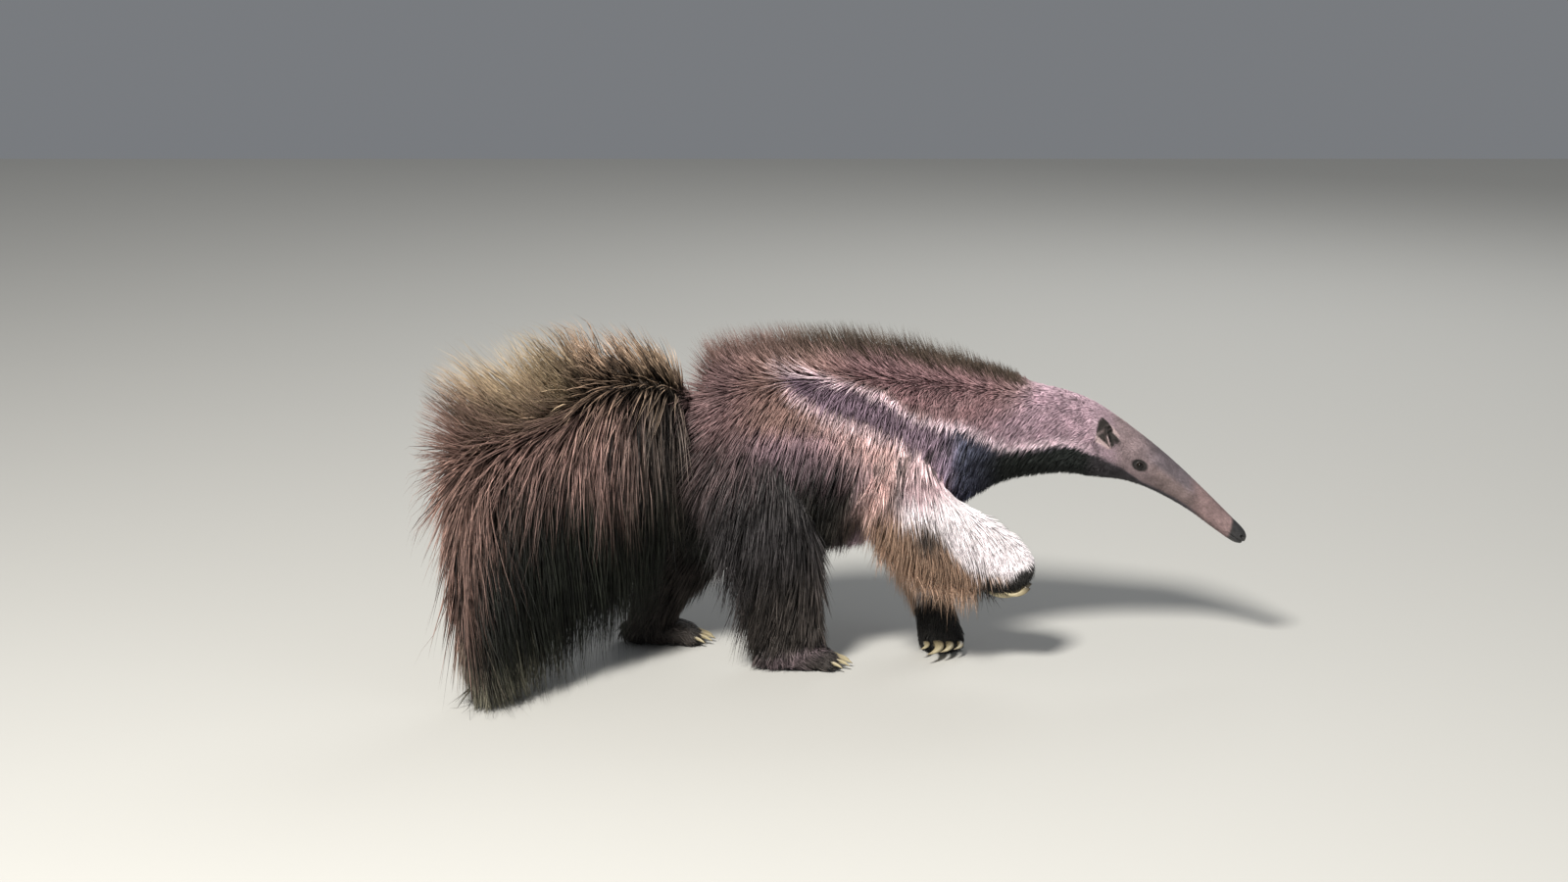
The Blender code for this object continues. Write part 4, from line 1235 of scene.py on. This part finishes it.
    # towards its tip it hangs, waves and joins its clump
    along = named("along", "FLOAT")
    bend = maths("MULTIPLY", maths("POWER", along, 1.8), length)
    fallen = scaled(named("droop"), maths("MULTIPLY", bend, given["Droop"]))
    drift = vectors("ADD", named("root"), scaled(position, 0.35))
    swing = maths("MULTIPLY", maths("MULTIPLY", given["Wave"], length), along)
    waved = scaled(noise(drift, given["Wave size"], 2.0), swing)
    gathered = scaled(named("gather"), maths("POWER", along, 1.3))
    moved = vectors("ADD", vectors("ADD", position, fallen), vectors("ADD", waved, gathered))

    # it stays above the skin, near the box of the solids and off the floor
    near = addNode(tree, "GeometryNodeProximity", {"Geometry": given["Skin"], "Sample Position": moved},
                   target_element="FACES").outputs["Position"]
    surface = addNode(tree, "GeometryNodeSampleNearestSurface",
                      {"Mesh": given["Skin"], "Sample Position": moved}, data_type="FLOAT_VECTOR")
    tree.links.new(addNode(tree, "GeometryNodeInputNormal").outputs[0], surface.inputs["Value"])
    normal = surface.outputs["Value"]
    above = dot(vectors("SUBTRACT", moved, near), normal)
    wanted = maths("MULTIPLY", given["Clearance"], maths("MINIMUM", maths("MULTIPLY", along, 3.0), 1.0))
    lacking = maths("MAXIMUM", maths("SUBTRACT", wanted, above), 0.0)
    started = maths("MINIMUM", maths("MULTIPLY", along, 8.0), 1.0)
    moved = vectors("ADD", moved, scaled(normal, maths("MULTIPLY", lacking, started)))
    above = vectors("MAXIMUM", vectors("SUBTRACT", moved, given["Highest corner"]), (0.0, 0.0, 0.0))
    below = vectors("MAXIMUM", vectors("SUBTRACT", given["Lowest corner"], moved), (0.0, 0.0, 0.0))
    moved = vectors("ADD", moved, scaled(vectors("SUBTRACT", below, above), given["Squeeze"]))
    parts = addNode(tree, "ShaderNodeSeparateXYZ", {0: moved}).outputs
    onFloor = combined(parts[0], parts[1], maths("MAXIMUM", parts[2], given["Floor"]))
    shaped = addNode(tree, "GeometryNodeSetPosition", {"Geometry": real, "Position": onFloor}).outputs[0]
    lockMap = vectors("SUBTRACT", named("lockMap"), (0.5, 0.5, 0.0))
    mapped = vectors("ADD", named("OFBake"), scaled(lockMap, given["Patch"]))
    shaped = store(shaped, "tuftMap", "FLOAT2", "CORNER", mapped)
    finished = addNode(tree, "GeometryNodeSetMaterial", {"Geometry": shaped, "Material": given["Finish"]})
    addNode(tree, "NodeGroupOutput", {0: finished.outputs[0]})
    return tree


coatTree = makeCoatTree()
coatSocket = {item.name: item.identifier for item in coatTree.interface.items_tree
              if item.in_out == "INPUT"}
coatRules = {
    "packing": 0.55,        # locks for each square of the least spacing, once no more fit
    "quickShare": 0.3,
    "floor": 0.0012,        # the lowest that a lock may lie
    "squeeze": 0.78,        # how much of what leaves the box of the solids is taken back
    "patch": 0.003,         # size of a lock's own patch of the map
    "kept": ("position", "tint", "along", "own", "OFBake", "material_index", "sharp_face"),
}


def makeCoat(piece):
    lock = newObject("one_lock", lockMesh("one_lock", piece["rings"]))
    count = piece["locks"] * 1.0
    density = count / coverAreas[piece["cover"]]
    carrier = newObject(piece["name"], skinMesh)
    locks = carrier.modifiers.new("locks", "NODES")
    locks.node_group = coatTree
    lowest, highest = (Vector(corner) + layoutMiddle for corner in cadBox)
    values = {
        "Lock": lock, "Cover": "cover_" + piece["cover"], "Seed": piece["seed"], "Width": piece["width"],
        "Spacing": math.sqrt(coatRules["packing"] / density), "Most": density * 4,
        "Scatter": piece["scatter"], "Droop": piece.get("droop", 1.0), "Strays": piece["strays"],
        "Clearance": piece["clearance"], "Floor": coatRules["floor"], "Squeeze": coatRules["squeeze"],
        "Lowest corner": lowest, "Highest corner": highest, "Patch": coatRules["patch"],
        "Finish": hairMaterial(piece["name"] + "_hair", piece),
    }
    values["Short"], values["Long"] = piece["lengths"]
    values["Clump size"], values["Clump pull"], values["Strand pull"] = piece["clump"]
    values["Sway"], values["Sway size"] = piece["sway"]
    values["Wave"], values["Wave size"] = piece["wave"]
    for name, value in values.items():
        locks[coatSocket[name]] = value
    mesh = finishedMesh(carrier)
    bpy.data.objects.remove(lock)
    if "OFBake" in mesh.attributes:
        mesh.attributes.remove(mesh.attributes["OFBake"])
    mesh.attributes["tuftMap"].name = "OFBake"
    for name in [layer.name for layer in mesh.attributes if layer.name not in coatRules["kept"]]:
        if not name.startswith("."):
            mesh.attributes.remove(mesh.attributes[name])
    mesh.shade_smooth()
    coat = newObject(piece["name"], mesh)
    print(piece["name"], len(mesh.polygons), "triangles")
    return coat


# Each piece of the coat: how many locks and how wide, how they gather and how their colour runs
flank = {
    "slot": "body_coat", "rings": 3, "scatter": 0.12, "sway": (0.14, 0.09), "lengths": (0.60, 1.25),
    "clump": (0.030, 0.75, 0.45), "strays": 0.14, "wave": (0.14, 0.03), "clearance": 0.003,
    "rootShade": 0.12, "tipShade": 1.65, "variety": 0.85, "spread": (0.28, 0.72), "patch": 0.40,
    "patchScale": 28.0, "roughness": 0.52,
}
tailLength = {
    "slot": "tail_hair", "locks": 6000, "rings": 4, "width": 0.0029, "scatter": 0.14,
    "sway": (0.24, 0.07), "lengths": (0.40, 1.15), "clump": (0.032, 0.70, 0.50), "strays": 0.16,
    "wave": (0.16, 0.05), "clearance": 0.006, "rootShade": 0.08, "tipShade": 1.80, "variety": 0.95,
    "spread": (0.30, 0.70), "patch": 0.55, "patchScale": 32.0, "roughness": 0.50,
}
coatPieces = (
    {"name": "coat_head", "cover": "head", "slot": "head_coat", "locks": 14000, "rings": 2, "seed": 3,
     "width": 0.0010, "scatter": 0.16, "sway": (0.10, 0.03), "lengths": (0.6, 1.15),
     "clump": (0.008, 0.25, 0.20), "strays": 0.05, "wave": (0.15, 0.006), "clearance": 0.0004,
     "rootShade": 0.88, "tipShade": 1.08, "variety": 0.24, "patch": 0.15, "patchScale": 60.0,
     "roughness": 0.60},
    {"name": "coat_neck", "cover": "neck", "slot": "body_coat", "locks": 16000, "rings": 2, "seed": 5,
     "width": 0.0015, "scatter": 0.14, "sway": (0.12, 0.05), "lengths": (0.6, 1.15),
     "clump": (0.014, 0.40, 0.30), "strays": 0.10, "wave": (0.14, 0.012), "clearance": 0.001,
     "rootShade": 0.62, "tipShade": 1.14, "variety": 0.40, "patch": 0.25, "patchScale": 45.0,
     "roughness": 0.58},
    {"name": "coat_back", "cover": "back", "slot": "body_coat", "locks": 9000, "rings": 3, "seed": 7,
     "width": 0.0022, "scatter": 0.16, "sway": (0.14, 0.06), "lengths": (0.55, 1.2),
     "clump": (0.020, 0.50, 0.35), "strays": 0.15, "wave": (0.14, 0.02), "clearance": 0.002,
     "rootShade": 0.50, "tipShade": 1.18, "variety": 0.42, "patch": 0.25, "patchScale": 30.0,
     "roughness": 0.55},
    dict(flank, name="coat_flank_R", cover="flankR", locks=10500, seed=11, width=0.0028),
    dict(flank, name="coat_flank_L", cover="flankL", locks=7500, seed=13, width=0.0033),
    {"name": "coat_crest", "cover": "crest", "slot": "crest_hair", "locks": 8000, "rings": 3, "seed": 17,
     "width": 0.0014, "scatter": 0.24, "sway": (0.25, 0.05), "lengths": (0.60, 1.00),
     "clump": (0.016, 0.45, 0.35), "strays": 0.15, "wave": (0.22, 0.02), "clearance": 0.001,
     "rootShade": 0.45, "tipShade": 1.30, "variety": 0.55, "patch": 0.25, "patchScale": 30.0,
     "roughness": 0.55},
    {"name": "coat_forelegs", "cover": "forelegs", "slot": "pale_coat", "locks": 9500, "rings": 3,
     "seed": 19, "width": 0.0020, "scatter": 0.14, "sway": (0.14, 0.06), "lengths": (0.6, 1.2),
     "clump": (0.016, 0.40, 0.30), "strays": 0.14, "wave": (0.16, 0.02), "clearance": 0.001,
     "rootShade": 0.78, "tipShade": 1.16, "variety": 0.28, "patch": 0.12, "patchScale": 35.0,
     "roughness": 0.55},
    {"name": "coat_hindlegs", "cover": "hindlegs", "slot": "dark_coat", "locks": 8500, "rings": 3,
     "seed": 23, "width": 0.0028, "scatter": 0.14, "sway": (0.16, 0.08), "lengths": (0.55, 1.2),
     "clump": (0.026, 0.70, 0.40), "strays": 0.14, "wave": (0.16, 0.03), "clearance": 0.002,
     "rootShade": 0.20, "tipShade": 1.50, "variety": 0.85, "patch": 0.40, "patchScale": 28.0,
     "roughness": 0.50},
    dict(tailLength, name="coat_tail_base", cover="tailBase", seed=29),
    dict(tailLength, name="coat_tail_middle", cover="tailMiddle", seed=31),
    dict(tailLength, name="coat_tail_end", cover="tailEnd", seed=37),
    {"name": "coat_tail_wisps", "cover": "wisps", "slot": "tail_hair", "locks": 2600, "rings": 5,
     "seed": 41, "width": 0.0017, "scatter": 0.16, "sway": (0.24, 0.06), "lengths": (0.8, 1.75),
     "clump": (0.030, 0.60, 0.45), "strays": 0.12, "wave": (0.22, 0.04), "clearance": 0.004,
     "droop": 0.18, "rootShade": 0.40, "tipShade": 1.40, "variety": 0.75, "patch": 0.30,
     "patchScale": 30.0, "roughness": 0.55},
)
coats = {piece["name"]: makeCoat(piece) for piece in coatPieces}
print("coat made:", sum(len(coat.data.polygons) for coat in coats.values()), "triangles")


# Eyes: a dark wet ball with a raised window over a brown iris
eyeLook = {
    # how far the clear front stands out, and its half width in radians
    "window": 0.0009, "windowWidth": 0.42,
    "rings": 40, "sides": 48,
    "finish": {"Roughness": 0.05, "Specular IOR Level": 0.18, "Coat Weight": 0.15, "Coat Roughness": 0.02},
    "colours": (  # share of the way round from the middle of the pupil, colour
        (0.0, (0.002, 0.002, 0.002, 1)), (0.20, (0.002, 0.002, 0.002, 1)), (0.26, (0.009, 0.005, 0.003, 1)),
        (0.46, (0.006, 0.004, 0.003, 1)), (0.52, (0.002, 0.002, 0.002, 1)),
        (0.80, (0.012, 0.010, 0.010, 1))),
}


def makeEyeMaterial():
    material, tree, shader = newMaterial("dark_wet_eye")
    colour = colourRamp(tree, attribute(tree, "fromMiddle", "Fac"), eyeLook["colours"])
    tree.links.new(colour, shader.inputs["Base Color"])
    for name, value in eyeLook["finish"].items():
        shader.inputs[name].default_value = value
    return material


def makeEye(side, material):
    sign = -1 if side == "R" else 1
    centre = Vector(head["eye"])
    centre.y *= sign
    out = Vector(head["eyeTurn"])
    out.y *= sign
    bm = bmesh.new()
    bmesh.ops.create_uvsphere(bm, u_segments=eyeLook["sides"], v_segments=eyeLook["rings"],
                              radius=head["eyeRadius"])
    turn = out.to_track_quat("Z", "Y").to_matrix().to_4x4()
    away = []
    for v in bm.verts:
        angle = v.co.angle(Vector((0, 0, 1)))
        v.co *= 1 + eyeLook["window"] / head["eyeRadius"] * math.exp(-(angle / eyeLook["windowWidth"]) ** 4)
        away.append(angle / math.pi)
    bm.transform(Matrix.Translation(centre) @ turn)
    mesh = bpy.data.meshes.new("eyeball_" + side)
    bm.to_mesh(mesh)
    bm.free()
    storeAttribute(mesh, "fromMiddle", "FLOAT", np.array(away) * 2)
    mesh.materials.append(material)
    mesh.shade_smooth()
    return newObject("eyeball_" + side, mesh)


eyeMaterial = makeEyeMaterial()
eyeballs = {side: makeEye(side, eyeMaterial) for side in ("R", "L")}
print("eyes set")


# Claws: curved, flattened horn with a groove underneath
claws = {
    # length, radius at the base
    "fore": ((0.050, 0.0065), (0.072, 0.0090), (0.090, 0.0112), (0.050, 0.0065)),
    "hind": ((0.026, 0.0045), (0.030, 0.0052), (0.032, 0.0055), (0.030, 0.0052), (0.026, 0.0045)),
    "hindTurn": 0.7, "foreTurn": 1.0, "foldedTurn": 1.7,    # how far each bends from base to tip, in radians
    "flatness": 0.62, "rings": 22, "sides": 20, "groove": 0.16,
    "colours": (  # share of the length, colour
        (0.0, (0.060, 0.048, 0.034, 1)), (0.22, (0.30, 0.25, 0.15, 1)), (0.75, (0.46, 0.40, 0.25, 1)),
        (1.0, (0.20, 0.16, 0.10, 1))),
}


def makeClawMaterial():
    material, tree, shader = newMaterial("worn_horn")
    along, around = attribute(tree, "along", "Fac"), attribute(tree, "around", "Fac")
    horn = colourRamp(tree, along, claws["colours"])
    place = addNode(tree, "ShaderNodeCombineXYZ", {0: around, 1: along}).outputs[0]
    stretched = addNode(tree, "ShaderNodeMapping", {"Vector": place, "Scale": (26.0, 1.6, 1.0)}).outputs[0]
    streaks = addNode(tree, "ShaderNodeTexNoise",
                      {"Vector": stretched, "Scale": 1.0, "Detail": 5.0}).outputs["Fac"]
    bump = addNode(tree, "ShaderNodeBump", {"Height": streaks, "Strength": 0.5, "Distance": 0.0004})
    colour = scaledBy(tree, horn, mapRange(tree, streaks, 0.3, 0.7, 0.62, 1.25))
    tree.links.new(colour, shader.inputs["Base Color"])
    tree.links.new(mapRange(tree, streaks, 0.0, 1.0, 0.30, 0.55), shader.inputs["Roughness"])
    tree.links.new(bump.outputs[0], shader.inputs["Normal"])
    return material


def makeClaw(name, base, forward, bend, size, turn, material):
    length, radius = size
    forward, bend = np.array(Vector(forward).normalized()), np.array(Vector(bend).normalized())
    across = unit(np.cross(forward, bend))
    arc = length / turn
    share = np.linspace(0, 1, claws["rings"]) ** 0.85
    angle = turn * share
    out = forward * np.sin(angle)[:, None] - bend * np.cos(angle)[:, None]
    travelled = forward * np.sin(angle)[:, None] + bend * (1 - np.cos(angle))[:, None]
    centres = np.array(base) + arc * travelled
    taper = radius * (1 - share) ** 0.75 + 0.0004
    theta = 2 * math.pi * np.arange(claws["sides"]) / claws["sides"]
    a = np.cos(theta) * claws["flatness"]
    b = np.sin(theta) * (1 - claws["groove"] * np.exp(-((theta - 1.5 * math.pi) / 0.5) ** 2) * 2)
    rings = centres[:, None] + taper[:, None, None] * (across * a[:, None] + out[:, None] * b[None, :, None])
    mesh = meshFromTubes(name, [rings])
    storeAttribute(mesh, "along", "FLOAT", np.repeat(share, claws["sides"]))
    storeAttribute(mesh, "around", "FLOAT", np.tile(abs(theta / math.pi - 1), claws["rings"]))
    mesh.materials.append(material)
    mesh.shade_smooth()
    return newObject(name, mesh)


def makeClaws(material):
    made = {}
    for side, outward in (("R", -1), ("L", 1)):
        ankleX, ankleY = hindFoot["ankles"][side]
        for i, (place, size) in enumerate(zip(toePlaces, claws["hind"]), 1):
            base = (ankleX + 0.092 - 0.012 * place ** 2, ankleY + outward * 0.029 * place, 0.017)
            forward = (1, outward * 0.40 * place, 0.05)
            made[f"hind_claw_{side}_{i}"] = makeClaw(
                f"horn_hind_{side}_{i}", base, forward, (0, 0, -1), size, claws["hindTurn"], material)
    for i, size in enumerate(claws["fore"], 1):
        place = (i - 2.5) / 1.5
        base = (0.446, -0.097 - 0.027 * place, 0.177 - 0.010 * abs(place))
        forward = (-0.50, -0.05 * place, -0.86)
        made[f"fore_claw_R_{i}"] = makeClaw(
            f"horn_fore_R_{i}", base, forward, (-0.86, 0, 0.50), size, claws["foldedTurn"], material)
        base = (0.351 - 0.021 * i, 0.004, 0.022)
        made[f"fore_claw_L_{i}"] = makeClaw(
            f"horn_fore_L_{i}", base, (0.25, -1, 0), (-1, -0.1, 0), size, claws["foreTurn"], material)
    return made


horns = makeClaws(makeClawMaterial())
print("claws set:", len(horns))


# Everything was laid out from the spine, so it moves into the frame of the model
def moveIntoFrame(obj):
    obj.data.transform(Matrix.Translation(-layoutMiddle))
    obj.data.update()


for obj in [skin, *coats.values(), *eyeballs.values(), *horns.values()]:
    moveIntoFrame(obj)

fleshNodes = ["trunk", "neck", "head", "nose", "tail_base", "tail_middle", "tail_end"]
pairedNodes = ("ear", "upper_arm", "forearm", "fore_paw", "thigh", "shank", "hind_paw")
fleshNodes += [part + "_" + side for side in ("R", "L") for part in pairedNodes]
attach(skin, "root")
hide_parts(*fleshNodes)
for piece in coatPieces:
    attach(coats[piece["name"]], "root")
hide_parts("crest")
for side, eyeball in eyeballs.items():
    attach(eyeball, "root")
    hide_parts("eye_" + side)
for node, horn in horns.items():
    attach(horn, "root")
    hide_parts(node)


# Pale floor and soft light, strongest from high on the left
studio = {
    "floorSize": 14.0, "floorColour": (0.46, 0.46, 0.44, 1),
    "key": {"place": (-1.8, -4.4, 5.2), "size": 1.4, "power": 860.0, "colour": (1.0, 0.96, 0.90)},
    "fill": {"place": (4.2, -3.4, 2.2), "size": 3.5, "power": 30.0, "colour": (0.92, 0.96, 1.0)},
    "back": {"place": (1.5, 4.2, 3.4), "size": 3.0, "power": 70.0, "colour": (1.0, 1.0, 1.0)},
    "sky": (0.86, 0.90, 0.96, 1), "skyStrength": 0.22,
}


def makeStudio():
    half = studio["floorSize"] / 2
    mesh = bpy.data.meshes.new("studio_floor")
    corners = [(-half, -half, 0), (half, -half, 0), (half, half, 0), (-half, half, 0)]
    mesh.from_pydata(corners, [], [(0, 1, 2, 3)])
    material, _, shader = newMaterial("pale_floor")
    shader.inputs["Base Color"].default_value = studio["floorColour"]
    shader.inputs["Roughness"].default_value = 0.9
    mesh.materials.append(material)
    floor = newObject("studio_floor", mesh)
    for name in ("key", "fill", "back"):
        light = studio[name]
        lamp = bpy.data.lights.new(name, "AREA")
        lamp.shape = "DISK"
        lamp.size = light["size"]
        lamp.energy = light["power"]
        lamp.color = light["colour"]
        obj = bpy.data.objects.new(name, lamp)
        obj.location = light["place"]
        obj.rotation_euler = (Vector((0, 0, 0.3)) - obj.location).to_track_quat("-Z", "Y").to_euler()
        bpy.context.scene.collection.objects.link(obj)
    world = bpy.data.worlds.new("studio")
    world.use_nodes = True
    world.node_tree.nodes["Background"].inputs[0].default_value = studio["sky"]
    world.node_tree.nodes["Background"].inputs[1].default_value = studio["skyStrength"]
    bpy.context.scene.world = world
    bpy.context.scene.view_settings.view_transform = "Standard"


makeStudio()
print("studio lit")
